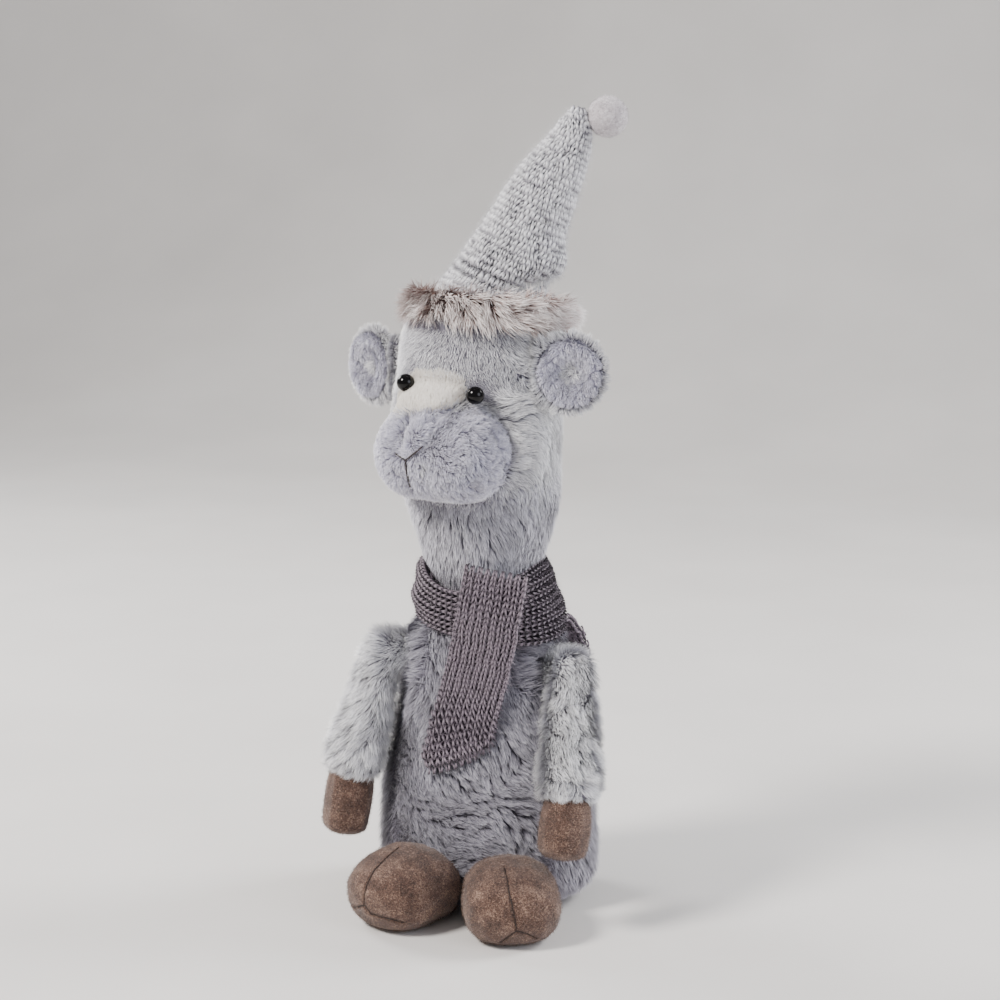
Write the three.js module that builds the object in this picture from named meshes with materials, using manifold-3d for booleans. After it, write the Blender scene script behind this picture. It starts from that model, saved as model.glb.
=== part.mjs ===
// A sitting plush llama with a knitted scarf and a pointed hat.
// Millimetres, +Z up, the front faces -Y, the llama's own left is +X.
// The origin is the middle of the footprint, on the surface it sits on.
// Fur is solid here up to the mean surface of its pile.
import * as THREE from 'three';
import * as BufferGeometryUtils from 'three/addons/utils/BufferGeometryUtils.js';
import Module from 'manifold-3d';

// Fits between pieces
const seatGap = 0.3;
const runningGap = 0.45;

// Torso: its swell from the base to the collar
const torsoRoundness = 2.2;
const baseHalfWidth = 47;
const baseHalfDepth = 36;
const hipHalfWidth = 57;
const hipHalfDepth = 45;
const hipHeight = 38;
const waistHalfWidth = 50.5;
const waistHalfDepth = 41.5;
const waistHeight = 85;
const shoulderHalfWidth = 39;
const shoulderHalfDepth = 33.5;
const shoulderHeight = 135;
const neckRootHalfWidth = 28;
const neckRootHalfDepth = 27.5;
const neckRootHeight = 150;
const collarHalfWidth = 25.5;
const collarHalfDepth = 25.5;
const collarHeight = 163;
const furThickness = 5;
const basePanelThickness = 3;
const pelletFill = 30;

// The side seam leans forward as it goes down the flank
const seamForwardAtHip = 29;
const seamLean = 8.9;

// Neck: it nods on a round end inside the collar
const neckOffset = -2.5;
const nodHeight = 164;
const nodRadius = 21;
const nodRange = 8;
const throatRadius = 33.5;
const throatHeight = 187;
const neckTopRadius = 39.5;
const neckTopHeight = 217;

// Head
const headYaw = 16.5;
const headOffsetX = -4.5;
const headOffsetY = -2;
const cheekHalfWidth = 43.5;
const cheekHalfDepth = 40.5;
const cheekHeight = 242;
const templeRadius = 41;
const templeHeight = 283;
const crownHeight = 313;

// Muzzle: two cheeks and a bridge, by their half sizes
const muzzleReach = 37;
const muzzleShift = 2;
const muzzleHeight = 234;
const lipSpread = 12.5;
const lipHalfWidth = 21.5;
const lipHalfLength = 25.5;
const lipHalfHeight = 23.5;
const bridgeHalfWidth = 14.5;
const bridgeHalfLength = 24;
const bridgeHalfHeight = 13.5;
const bridgeReach = 7;
const bridgeRise = 12;
const bridgeSlope = 27;
const blazeThickness = 1.4;
const blazeHalfWidth = 15;
const blazeBottom = 255;
const blazeTop = 272;

// Eyes: bead, shank and lock washer
const eyeRadius = 4.4;
const rightEyeSpread = 24;
const leftEyeSpread = 30;
const rightEyeHeight = 267.5;
const leftEyeHeight = 264;
const eyeProud = 1;
const shankRadius = 1.6;
const shankLength = 9;
const washerRadius = 6;
const washerThickness = 1.2;
const washerDepth = 5;

// Ears
const earHalfWidth = 20.5;
const earHalfHeight = 20.8;
const earHalfThickness = 5.5;
const rightEarHeight = 269;
const leftEarHeight = 273.5;
const earRootTurn = 77;
const earFace = 20;
const rightEarReach = 20;
const leftEarReach = 13.5;
const earRootRadius = 5;
const earRootLength = 25;
const liningHalfWidth = 14.8;
const liningHalfHeight = 15.2;
const liningThickness = 2.6;
const liningShift = 1.4;
const scoopMargin = 2.8;
const scoopRise = 1.5;
const earDish = 2.4;
const earRange = 18;

// Arms and hands
const armPlaneYaw = 34;
const armPlaneGap = 0.6;
const shoulderBack = 11;
const rightShoulderHeight = 128;
const leftShoulderHeight = 123;
const armLength = 67;
const armRootHalfWidth = 13.5;
const armRootThickness = 20;
const armCuffHalfWidth = 16.5;
const armCuffThickness = 31;
const bossRadius = 12.5;
const bossDepth = 3;
const handHalfWidth = 12.5;
const handHalfThickness = 12;
const rightHandLength = 29.5;
const leftHandLength = 26;
const handTuck = 9;
const wristRound = 5;
const fingertipRound = 11;
const flankSteps = 30;
const flankBottom = 8;
const flankTouch = 12;
const rightArmSwing = 1;
const leftArmSwing = 18;

// Feet
const footHalfWidth = 24;
const footHalfHeight = 20.8;
const toeHalfHeight = 14.5;
const footLength = 46;
const toeRound = 14;
const footSink = 3;
const footAxisHeight = 16;
const footSpread = 20.6;
const footRootRadius = 15.5;
const footRootDepth = 8;
const rightFootForward = 37;
const leftFootForward = 40.5;
const rightFootYaw = 28;
const leftFootYaw = 20;
const solePanelThickness = 1.6;
const footRange = 12;

// Scarf
const scarfThickness = 5.5;
const scarfTop = 175;
const scarfDropLeft = 37;
const scarfDropRight = 24;
const scarfTopRadius = 31.5;
const scarfWidth = 31;
const tailThickness = 4.2;
const tailEase = 1.2;
const wrapFrontDrop = 34;
const wrapBulge = 2.5;
const tailBend = 3;
const backTailEase = 5.3;
const frontTailBottom = 78;
const backTailBottom = 80;
const backTailYaw = 50;
const frontTailTopX = 12.8;
const frontTailBottomX = -7;
const tailHingeHeight = 172;
const backHingeHeight = 140;

// Hat
const hatCentreX = 0.5;
const hatCentreY = 2;
const hatHeight = 299.5;
const hatTiltBack = 9;
const hatLean = 3;
const brimRadius = 41.5;
const brimThickness = 10;
const brimHeight = 20;
const coneBaseRadius = 22.5;
const coneMouthRadius = 31;
const coneShoulder = 7;
const coneShoulderRadius = 27.5;
const coneShoulderShift = 2;
const coneMidRadius = 16.5;
const coneUpperRadius = 10;
const coneTipRadius = 4.5;
const coneTipX = 41;
const coneTipY = 17;
const coneTipHeight = 396;
const knitThickness = 2.4;
const pomPomRadius = 10.3;
const pomPomReach = 14;
const pomPomDrop = 2;
const pomPomTuck = 0.4;

const wasm = await Module();
wasm.setup();

const up = new THREE.Vector3(0, 0, 1);
const vec = (x, y, z) => new THREE.Vector3(x, y, z);
const radians = THREE.MathUtils.degToRad;

// Booleans on closed meshes
function solidOf(geometry) {
  const bare = geometry.clone();
  bare.deleteAttribute('normal');
  bare.deleteAttribute('uv');
  const merged = BufferGeometryUtils.mergeVertices(bare, 1e-4);
  const vertProperties = merged.attributes.position.array;
  const triVerts = new Uint32Array(merged.index.array);
  if (volumeOf(vertProperties, triVerts) < 0) triVerts.reverse();
  return new wasm.Manifold(new wasm.Mesh({ numProp: 3, vertProperties, triVerts }));
}

// Negative where the faces point inwards
function volumeOf(positions, index) {
  const corner = (i) => vec(...positions.slice(3 * index[i], 3 * index[i] + 3));
  let volume = 0;
  for (let i = 0; i < index.length; i += 3) {
    volume += corner(i).dot(corner(i + 1).cross(corner(i + 2))) / 6;
  }
  return volume;
}

function geometryOf(solid) {
  const mesh = solid.getMesh();
  const geometry = new THREE.BufferGeometry();
  geometry.setAttribute('position', new THREE.BufferAttribute(mesh.vertProperties.slice(), 3));
  geometry.setIndex(new THREE.BufferAttribute(mesh.triVerts.slice(), 1));
  geometry.computeVertexNormals();
  return geometry;
}

const joined = (...solids) => solids.reduce((whole, next) => whole.add(next));
const cutBy = (solid, ...tools) => tools.reduce((rest, tool) => rest.subtract(tool), solid);

// A closed surface over rings of points; the ends close on a middle point
function skinOver(rings) {
  const sides = rings[0].length;
  const middle = (ring) => ring
    .reduce((sum, point) => sum.add(point), vec(0, 0, 0))
    .multiplyScalar(1 / ring.length);
  const points = [...rings.flat(), middle(rings[0]), middle(rings.at(-1))];
  const first = rings.length * sides;
  const index = [];
  for (let ring = 0; ring < rings.length - 1; ring += 1) {
    for (let side = 0; side < sides; side += 1) {
      const here = ring * sides + side;
      const beside = ring * sides + ((side + 1) % sides);
      index.push(here, beside, beside + sides, here, beside + sides, here + sides);
    }
  }
  const last = (rings.length - 1) * sides;
  for (let side = 0; side < sides; side += 1) {
    const beside = (side + 1) % sides;
    index.push(first, beside, side, first + 1, last + side, last + beside);
  }
  const geometry = new THREE.BufferGeometry();
  geometry.setAttribute('position', new THREE.Float32BufferAttribute(
    points.flatMap((point) => point.toArray()), 3));
  geometry.setIndex(index);
  return solidOf(geometry);
}

// Smooth value between stations, each a [position, value] pair
function between(stations, position) {
  const curve = new THREE.SplineCurve(stations.map(([at, value]) => new THREE.Vector2(at, value)));
  const last = stations.length - 1;
  const step = stations.findIndex(([at], i) => i < last && position <= stations[i + 1][0]);
  const from = step < 0 ? last - 1 : step;
  const share = (position - stations[from][0]) / (stations[from + 1][0] - stations[from][0]);
  return curve.getPoint((from + THREE.MathUtils.clamp(share, 0, 1)) / last).y;
}

const superCos = (angle, power) => Math.sign(Math.cos(angle)) * Math.abs(Math.cos(angle)) ** (2 / power);
const superSin = (angle, power) => Math.sign(Math.sin(angle)) * Math.abs(Math.sin(angle)) ** (2 / power);

// A stuffed form: round sections along a spine, closed by round ends.
// stations are { at: Vector3, wide, deep }, wide along the across direction.
function stuffed({ stations, across, roundness = 2, rings = 14, sides = 24,
  startRound = 0, endRound = 0, grow = 0 }) {
  const spine = new THREE.CatmullRomCurve3(stations.map((station) => station.at), false, 'centripetal');
  const last = stations.length - 1;
  const wides = stations.map((station, i) => [i / last, station.wide]);
  const deeps = stations.map((station, i) => [i / last, station.deep]);
  const total = spine.getLength();
  const loop = [];
  for (let ring = 0; ring <= rings; ring += 1) {
    const share = (1 - Math.cos((Math.PI * ring) / rings)) / 2;
    const along = startRound || endRound ? share * 0.5 + (ring / rings) * 0.5 : ring / rings;
    const centre = spine.getPoint(along);
    const tangent = spine.getTangent(along);
    const side = across.clone().addScaledVector(tangent, -across.dot(tangent)).normalize();
    const face = tangent.clone().cross(side);
    const fromStart = along * total;
    const fromEnd = (1 - along) * total;
    const round = (distance, length) => (length > distance
      ? Math.sqrt(Math.max(0, 1 - ((length - distance) / length) ** 2)) : 1);
    const taper = Math.max(round(fromStart, startRound) * round(fromEnd, endRound), 0.02);
    const wide = between(wides, along) * taper + grow;
    const deep = between(deeps, along) * taper + grow;
    const reach = grow * ((ring === rings ? 1 : 0) - (ring === 0 ? 1 : 0));
    loop.push(Array.from({ length: sides }, (_, i) => {
      const angle = (2 * Math.PI * i) / sides;
      return centre.clone()
        .addScaledVector(tangent, reach)
        .addScaledVector(side, wide * superCos(angle, roundness))
        .addScaledVector(face, deep * superSin(angle, roundness));
    }));
  }
  return skinOver(loop);
}

function ball(radius, centre, segments = 16) {
  const geometry = new THREE.SphereGeometry(radius, segments, segments / 2);
  geometry.translate(centre.x, centre.y, centre.z);
  return solidOf(geometry);
}

// An egg with three half sizes along the columns of a frame
function egg(halfSizes, frame, centre, segments = 14) {
  const geometry = new THREE.SphereGeometry(1, segments, segments / 2);
  geometry.scale(halfSizes.x, halfSizes.y, halfSizes.z);
  geometry.applyMatrix4(frame.clone().setPosition(centre));
  return solidOf(geometry);
}

function block(width, depth, height, matrix) {
  const geometry = new THREE.BoxGeometry(width, depth, height);
  geometry.applyMatrix4(matrix);
  return solidOf(geometry);
}

function rod(radius, start, end, segments = 14) {
  const axis = end.clone().sub(start);
  const geometry = new THREE.CylinderGeometry(radius, radius, axis.length(), segments);
  const turn = new THREE.Quaternion().setFromUnitVectors(vec(0, 1, 0), axis.clone().normalize());
  geometry.applyQuaternion(turn);
  const middle = start.clone().add(end).multiplyScalar(0.5);
  geometry.translate(middle.x, middle.y, middle.z);
  return solidOf(geometry);
}

const frameOf = (x, y, z) => new THREE.Matrix4().makeBasis(x, y, z);
const huge = 600;
const above = (height) => block(huge, huge, huge, new THREE.Matrix4().setPosition(0, 0, height + huge / 2));
const below = (height) => block(huge, huge, huge, new THREE.Matrix4().setPosition(0, 0, height - huge / 2));

// The solid turned about an axis line
function turned(solid, point, axis, degrees) {
  const matrix = new THREE.Matrix4().makeTranslation(point.x, point.y, point.z)
    .multiply(new THREE.Matrix4().makeRotationAxis(axis, radians(degrees)))
    .multiply(new THREE.Matrix4().makeTranslation(-point.x, -point.y, -point.z));
  return solid.transform(matrix.elements);
}

// Every place the solid takes up while it turns from one angle to another
function swept(solid, point, axis, from, to, steps) {
  const places = Array.from({ length: steps + 1 }, (_, i) => from + ((to - from) * i) / steps);
  return joined(...places.map((degrees) => turned(solid, point, axis, degrees)));
}

const llama = new THREE.Group();

function addPiece(name, solid, look) {
  const mesh = new THREE.Mesh(geometryOf(solid), new THREE.MeshStandardMaterial(look));
  mesh.name = name;
  llama.add(mesh);
}

const greyFur = { color: 0xa6a4ad, roughness: 0.95, metalness: 0 };
const sideFur = { color: 0x8d8892, roughness: 0.9, metalness: 0 };
const shortPlush = { color: 0x9d9caa, roughness: 0.95, metalness: 0 };
const creamPlush = { color: 0xe6e2dd, roughness: 0.95, metalness: 0 };
const brownFelt = { color: 0x69524a, roughness: 0.9, metalness: 0 };
const scarfKnit = { color: 0x716573, roughness: 0.95, metalness: 0 };
const hatKnit = { color: 0xbfbec4, roughness: 0.95, metalness: 0 };
const brimFur = { color: 0xb9aeae, roughness: 0.95, metalness: 0 };
const ballFelt = { color: 0xbab2b6, roughness: 0.9, metalness: 0 };
const blackBead = { color: 0x080808, roughness: 0.12, metalness: 0 };
const whiteFill = { color: 0xeeeeea, roughness: 1, metalness: 0 };
const washerPlastic = { color: 0xe8e8e4, roughness: 0.5, metalness: 0 };

// Torso
const torsoWidths = [[0, baseHalfWidth], [14, hipHalfWidth - 1.5], [hipHeight, hipHalfWidth],
  [waistHeight, waistHalfWidth], [shoulderHeight, shoulderHalfWidth],
  [neckRootHeight, neckRootHalfWidth], [collarHeight, collarHalfWidth]];
const torsoDepths = [[0, baseHalfDepth], [14, hipHalfDepth - 1.5], [hipHeight, hipHalfDepth],
  [waistHeight, waistHalfDepth], [shoulderHeight, shoulderHalfDepth],
  [neckRootHeight, neckRootHalfDepth], [collarHeight, collarHalfDepth]];
const torsoRings = 9;
const torsoSides = 20;

function torso(grow) {
  const heights = [0, 3, 8];
  for (let ring = 1; ring <= torsoRings - 3; ring += 1) {
    heights.push(8 + ((collarHeight - 8) * ring) / (torsoRings - 3));
  }
  return skinOver(heights.map((height, ring) => Array.from({ length: torsoSides }, (_, i) => {
    const angle = (2 * Math.PI * i) / torsoSides;
    const lift = ring === heights.length - 1 ? Math.max(grow, 0) : 0;
    return vec(
      neckOffset * (height / collarHeight) ** 2
        + (between(torsoWidths, height) + grow) * superCos(angle, torsoRoundness),
      (between(torsoDepths, height) + grow) * superSin(angle, torsoRoundness),
      height + lift,
    );
  })));
}

// How far the torso reaches in a level direction at a height
function torsoReach(direction, height) {
  const power = torsoRoundness / (torsoRoundness - 1);
  const x = Math.abs(direction.x) * between(torsoWidths, height);
  const y = Math.abs(direction.y) * between(torsoDepths, height);
  return (x ** power + y ** power) ** (1 / power) + direction.x * neckOffset * (height / collarHeight) ** 2;
}

// Neck and head
const nodPoint = vec(neckOffset, 0, nodHeight);
const xAxis = vec(1, 0, 0);
const headCentre = vec(headOffsetX, headOffsetY, 0);
const faceWay = vec(-Math.sin(radians(headYaw)), -Math.cos(radians(headYaw)), 0);
const leftWay = vec(Math.cos(radians(headYaw)), -Math.sin(radians(headYaw)), 0);
const headFrame = frameOf(leftWay, faceWay.clone().negate(), up);

function neck(grow) {
  const stations = [[nodHeight, nodRadius - 1], [throatHeight - 8, throatRadius - 3.5],
    [throatHeight, throatRadius], [(throatHeight + neckTopHeight) / 2, (throatRadius + neckTopRadius) / 2 + 1],
    [neckTopHeight, neckTopRadius]].map(([height, radius]) => ({
    at: vec(neckOffset, 0, height),
    wide: radius,
    deep: radius,
  }));
  return joined(stuffed({ stations, across: xAxis, rings: 6, sides: 18, grow }),
    ball(nodRadius + grow, nodPoint, 24));
}

function head(grow) {
  const stations = [
    [neckTopHeight + seatGap, neckTopRadius, neckTopRadius - 0.5],
    [cheekHeight - 12, cheekHalfWidth - 1, cheekHalfDepth - 0.5],
    [cheekHeight, cheekHalfWidth, cheekHalfDepth],
    [(cheekHeight + templeHeight) / 2, cheekHalfWidth - 0.5, cheekHalfDepth - 0.8],
    [templeHeight, templeRadius, templeRadius - 1.5],
    [crownHeight, templeRadius - 8, templeRadius - 8],
  ].map(([height, wide, deep]) => ({ at: headCentre.clone().setZ(height), wide, deep }));
  return stuffed({ stations, across: leftWay, rings: 9, sides: 18, endRound: crownHeight - templeHeight - 5, grow });
}

const muzzleCentre = headCentre.clone().addScaledVector(faceWay, muzzleReach)
  .addScaledVector(leftWay, muzzleShift).setZ(muzzleHeight);

function muzzle(grow) {
  const lips = [1, -1].map((side) => egg(
    vec(lipHalfWidth + grow, lipHalfLength + grow, lipHalfHeight + grow),
    headFrame,
    muzzleCentre.clone().addScaledVector(leftWay, side * lipSpread),
  ));
  const bridge = egg(
    vec(bridgeHalfWidth + grow, bridgeHalfLength + grow, bridgeHalfHeight + grow),
    headFrame.clone().multiply(new THREE.Matrix4().makeRotationX(radians(bridgeSlope))),
    muzzleCentre.clone().addScaledVector(up, bridgeRise).addScaledVector(faceWay, bridgeReach),
  );
  return joined(...lips, bridge);
}

// Eyes: a bead seated on the fur, its shank and its washer inside
function eyeParts(side, spread, height) {
  const turn = radians(headYaw - side * spread);
  const out = vec(-Math.sin(turn), -Math.cos(turn), 0);
  const reach = headReach(out);
  const seat = headCentre.clone().addScaledVector(out, reach).setZ(height);
  const inward = (depth) => seat.clone().addScaledVector(out, -depth);
  const bead = (grow) => joined(
    ball(eyeRadius + grow, inward(-eyeProud), 14),
    rod(shankRadius + grow, inward(shankLength + grow), inward(0), 8),
  );
  const washer = (grow) => rod(washerRadius + grow,
    inward(washerDepth + washerThickness + grow), inward(washerDepth - grow), 12);
  return { bead, washer };
}

// Where the head's surface is in a level direction, at the height of the eyes and ears
function headReach(direction) {
  const side = direction.dot(leftWay);
  const front = direction.dot(faceWay);
  const wide = cheekHalfWidth - 1.2;
  const deep = cheekHalfDepth - 1.4;
  return 1 / Math.sqrt((side / wide) ** 2 + (front / deep) ** 2);
}

const eyes = {
  right: eyeParts(-1, rightEyeSpread, rightEyeHeight),
  left: eyeParts(1, leftEyeSpread, leftEyeHeight),
};

// Ears: a dished fur disc, its lining, and a round root that it folds on
function earParts(side, earHeight, earReach) {
  const rootTurn = radians(earRootTurn);
  const faceTurn = radians(earFace);
  const rootWay = leftWay.clone().multiplyScalar(side * Math.sin(rootTurn))
    .addScaledVector(faceWay, Math.cos(rootTurn));
  const root = headCentre.clone().addScaledVector(rootWay, headReach(rootWay)).setZ(earHeight);
  const outward = leftWay.clone().multiplyScalar(side * Math.cos(faceTurn))
    .addScaledVector(faceWay, -Math.sin(faceTurn));
  const front = faceWay.clone().multiplyScalar(Math.cos(faceTurn))
    .addScaledVector(leftWay, side * Math.sin(faceTurn));
  const centre = root.clone().addScaledVector(outward, earReach);
  const discFrame = frameOf(outward, up, front.clone());
  const half = earRootLength / 2;
  const rootAt = (z) => root.clone().addScaledVector(up, z);
  const rootSolid = (grow) => joined(
    rod(earRootRadius + grow, rootAt(-half), rootAt(half), 12),
    ball(earRootRadius + grow, rootAt(-half), 12),
    ball(earRootRadius + grow, rootAt(half), 12),
  );
  const disc = egg(vec(earHalfWidth, earHalfHeight, earHalfThickness), discFrame, centre, 14);
  const behind = block(huge, huge, huge, discFrame.clone()
    .setPosition(root.clone().addScaledVector(outward, -huge / 2)));
  const dishDepth = earHalfThickness + liningThickness - earDish;
  const dish = (grow) => egg(
    vec(liningHalfWidth + grow, liningHalfHeight + grow, liningThickness + grow), discFrame,
    centre.clone().addScaledVector(front, dishDepth - liningThickness)
      .addScaledVector(outward, liningShift), 12,
  );
  const scoop = egg(vec(liningHalfWidth + scoopMargin, liningHalfHeight + scoopMargin, earDish + scoopRise),
    discFrame, centre.clone().addScaledVector(front, earHalfThickness + scoopRise), 12);
  const headSweep = swept(head(runningGap), root, up, -earRange, earRange, 1);
  const outer = cutBy(joined(cutBy(disc, behind, headSweep), rootSolid(0)), scoop, dish(seatGap));
  const lining = cutBy(dish(0), scoop);
  return { rootSolid, outer, lining };
}

const ears = {
  right: earParts(-1, rightEarHeight, rightEarReach),
  left: earParts(1, leftEarHeight, leftEarReach),
};

// Hat
const hatUp = vec(Math.tan(radians(hatLean)), Math.tan(radians(hatTiltBack)), 1).normalize();
const hatSide = vec(1, 0, 0).addScaledVector(hatUp, -hatUp.x).normalize();
const hatBack = hatUp.clone().cross(hatSide);
const hatCentre = vec(hatCentreX, hatCentreY, hatHeight);
const coneTip = vec(coneTipX, coneTipY, coneTipHeight);

function cone(grow) {
  const along = (share, rise) => vec(
    THREE.MathUtils.lerp(hatCentreX, coneTipX, share),
    THREE.MathUtils.lerp(hatCentreY, coneTipY, share),
    hatHeight + rise,
  );
  const height = coneTipHeight - hatHeight;
  const stations = [
    [hatCentre.clone().addScaledVector(hatUp, -brimHeight / 2 + 3), coneMouthRadius],
    [hatCentre.clone().addScaledVector(hatUp, coneShoulder).addScaledVector(hatSide, coneShoulderShift),
      coneShoulderRadius],
    [along(0.18, height * 0.2), coneBaseRadius],
    [along(0.59, height * 0.59), coneMidRadius],
    [along(0.92, height * 0.87), coneUpperRadius],
    [coneTip, coneTipRadius],
  ].map(([at, radius]) => ({ at, wide: radius, deep: radius }));
  return stuffed({ stations, across: xAxis, rings: 9, sides: 16, grow });
}

function brim() {
  const count = 20;
  const sectionSides = 8;
  const rings = Array.from({ length: count }, (_, i) => {
    const angle = (2 * Math.PI * i) / count;
    const way = hatSide.clone().multiplyScalar(Math.cos(angle)).addScaledVector(hatBack, Math.sin(angle));
    const middle = hatCentre.clone().addScaledVector(way, brimRadius - brimThickness / 2);
    return Array.from({ length: sectionSides }, (__, j) => {
      const around = (2 * Math.PI * j) / sectionSides;
      return middle.clone()
        .addScaledVector(way, (brimThickness / 2) * superCos(around, 2.6))
        .addScaledVector(hatUp, (brimHeight / 2) * superSin(around, 2.6));
    });
  });
  return ringSolid(rings);
}

// A closed band through rings of points that come back to the first
function ringSolid(rings) {
  const sides = rings[0].length;
  const index = [];
  rings.forEach((_, ring) => {
    const next = (ring + 1) % rings.length;
    for (let side = 0; side < sides; side += 1) {
      const beside = (side + 1) % sides;
      index.push(ring * sides + side, next * sides + beside, ring * sides + beside);
      index.push(ring * sides + side, next * sides + side, next * sides + beside);
    }
  });
  const geometry = new THREE.BufferGeometry();
  geometry.setAttribute('position', new THREE.Float32BufferAttribute(
    rings.flat().flatMap((point) => point.toArray()), 3));
  geometry.setIndex(index);
  return solidOf(geometry);
}

const coneCore = cone(-knitThickness);
const hatCone = cutBy(cone(0), coneCore, head(seatGap));
const tipBall = (grow) => ball(coneTipRadius + grow, coneTip, 14);
const pomPomWay = vec(pomPomReach, 4, -pomPomDrop).normalize();
const pomPomCentre = coneTip.clone()
  .addScaledVector(pomPomWay, pomPomRadius + coneTipRadius - pomPomTuck);
const pomPom = cutBy(ball(pomPomRadius, pomPomCentre, 18), tipBall(runningGap), cone(runningGap));

// Arms: each hangs beside a plane that leans on the hip and the shoulder
function armParts(side, swing, height, handLength) {
  const level = vec(side * Math.cos(radians(armPlaneYaw)), -Math.sin(radians(armPlaneYaw)), 0);
  const heights = Array.from({ length: flankSteps },
    (_, i) => THREE.MathUtils.lerp(flankBottom, shoulderHeight, i / (flankSteps - 1)));
  const tilt = Math.atan2(torsoReach(level, hipHeight + flankTouch) - torsoReach(level, shoulderHeight),
    shoulderHeight - hipHeight - flankTouch);
  const out = level.clone().multiplyScalar(Math.cos(tilt)).addScaledVector(up, Math.sin(tilt));
  const distance = Math.max(...heights.map((z) => torsoReach(level, z) * Math.cos(tilt) + z * Math.sin(tilt)))
    + armPlaneGap;
  const forward = vec(-side * Math.sin(radians(armPlaneYaw)), -Math.cos(radians(armPlaneYaw)), 0);
  const down = forward.clone().cross(out).multiplyScalar(forward.clone().cross(out).z < 0 ? 1 : -1);
  const onPlane = level.clone().multiplyScalar((distance - height * Math.sin(tilt)) / Math.cos(tilt)).setZ(height);
  const pivot = onPlane.addScaledVector(forward, -shoulderBack);
  const place = (outside, ahead, lower) => pivot.clone()
    .addScaledVector(out, outside).addScaledVector(forward, ahead).addScaledVector(down, lower);
  const stations = [
    [-armRootHalfWidth, armRootThickness * 0.42, armRootHalfWidth * 0.9, armRootThickness * 0.42],
    [0, armRootThickness / 2, armRootHalfWidth, armRootThickness / 2],
    [armLength * 0.4, armRootThickness * 0.62, armRootHalfWidth + 2, armRootThickness * 0.62],
    [armLength * 0.8, armCuffThickness / 2 + 0.5, armCuffHalfWidth, armCuffThickness / 2],
    [armLength, armCuffThickness / 2 + 0.5, armCuffHalfWidth - 1.5, armCuffThickness / 2 - 1.5],
  ].map(([lower, outside, wide, deep]) => ({ at: place(outside, 0, lower), wide, deep }));
  const sleeve = stuffed({ stations, across: forward, rings: 8, sides: 14, startRound: armRootHalfWidth });
  const frame = frameOf(forward, down, out);
  const inside = block(huge, huge, huge, frame.clone().setPosition(place(-huge / 2 + 0.1, 0, 0)));
  const boss = (grow) => rod(bossRadius + grow, place(-distanceToSeat(pivot, level, tilt) - grow, 0, 0),
    place(3, 0, 0), 16);
  const handStations = [
    [armLength - handTuck, handHalfWidth - 1.5, handHalfThickness - 0.5],
    [armLength + handLength * 0.35, handHalfWidth, handHalfThickness],
    [armLength + handLength * 0.8, handHalfWidth - 0.5, handHalfThickness - 0.5],
    [armLength + handLength, handHalfWidth - 2, handHalfThickness - 1.5],
  ].map(([lower, wide, deep]) => ({ at: place(armCuffThickness / 2 + 0.5, 0, lower), wide, deep }));
  const hand = (grow) => stuffed({ stations: handStations, across: forward, roundness: 2.4, rings: 7,
    sides: 12, startRound: wristRound, endRound: fingertipRound, grow });
  const arm = cutBy(joined(cutBy(sleeve, inside), boss(0)), hand(seatGap));
  const pose = (solid) => turned(solid, pivot, out, -side * swing);
  return { pivot, out, arm: pose(arm), hand: pose(hand(0)), boss };
}

// How deep the boss goes below the arm's plane to seat in the flank
function distanceToSeat(pivot, level, tilt) {
  const reach = torsoReach(level, pivot.z);
  const across = pivot.clone().setZ(0);
  const ahead = Math.sqrt(Math.max(0, across.lengthSq() - across.dot(level) ** 2));
  const sink = across.dot(level) - reach + (ahead ** 2) / (2 * shoulderHalfWidth);
  return sink * Math.cos(tilt) + bossDepth;
}

const arms = {
  right: armParts(-1, rightArmSwing, rightShoulderHeight, rightHandLength),
  left: armParts(1, leftArmSwing, leftShoulderHeight, leftHandLength),
};

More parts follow.
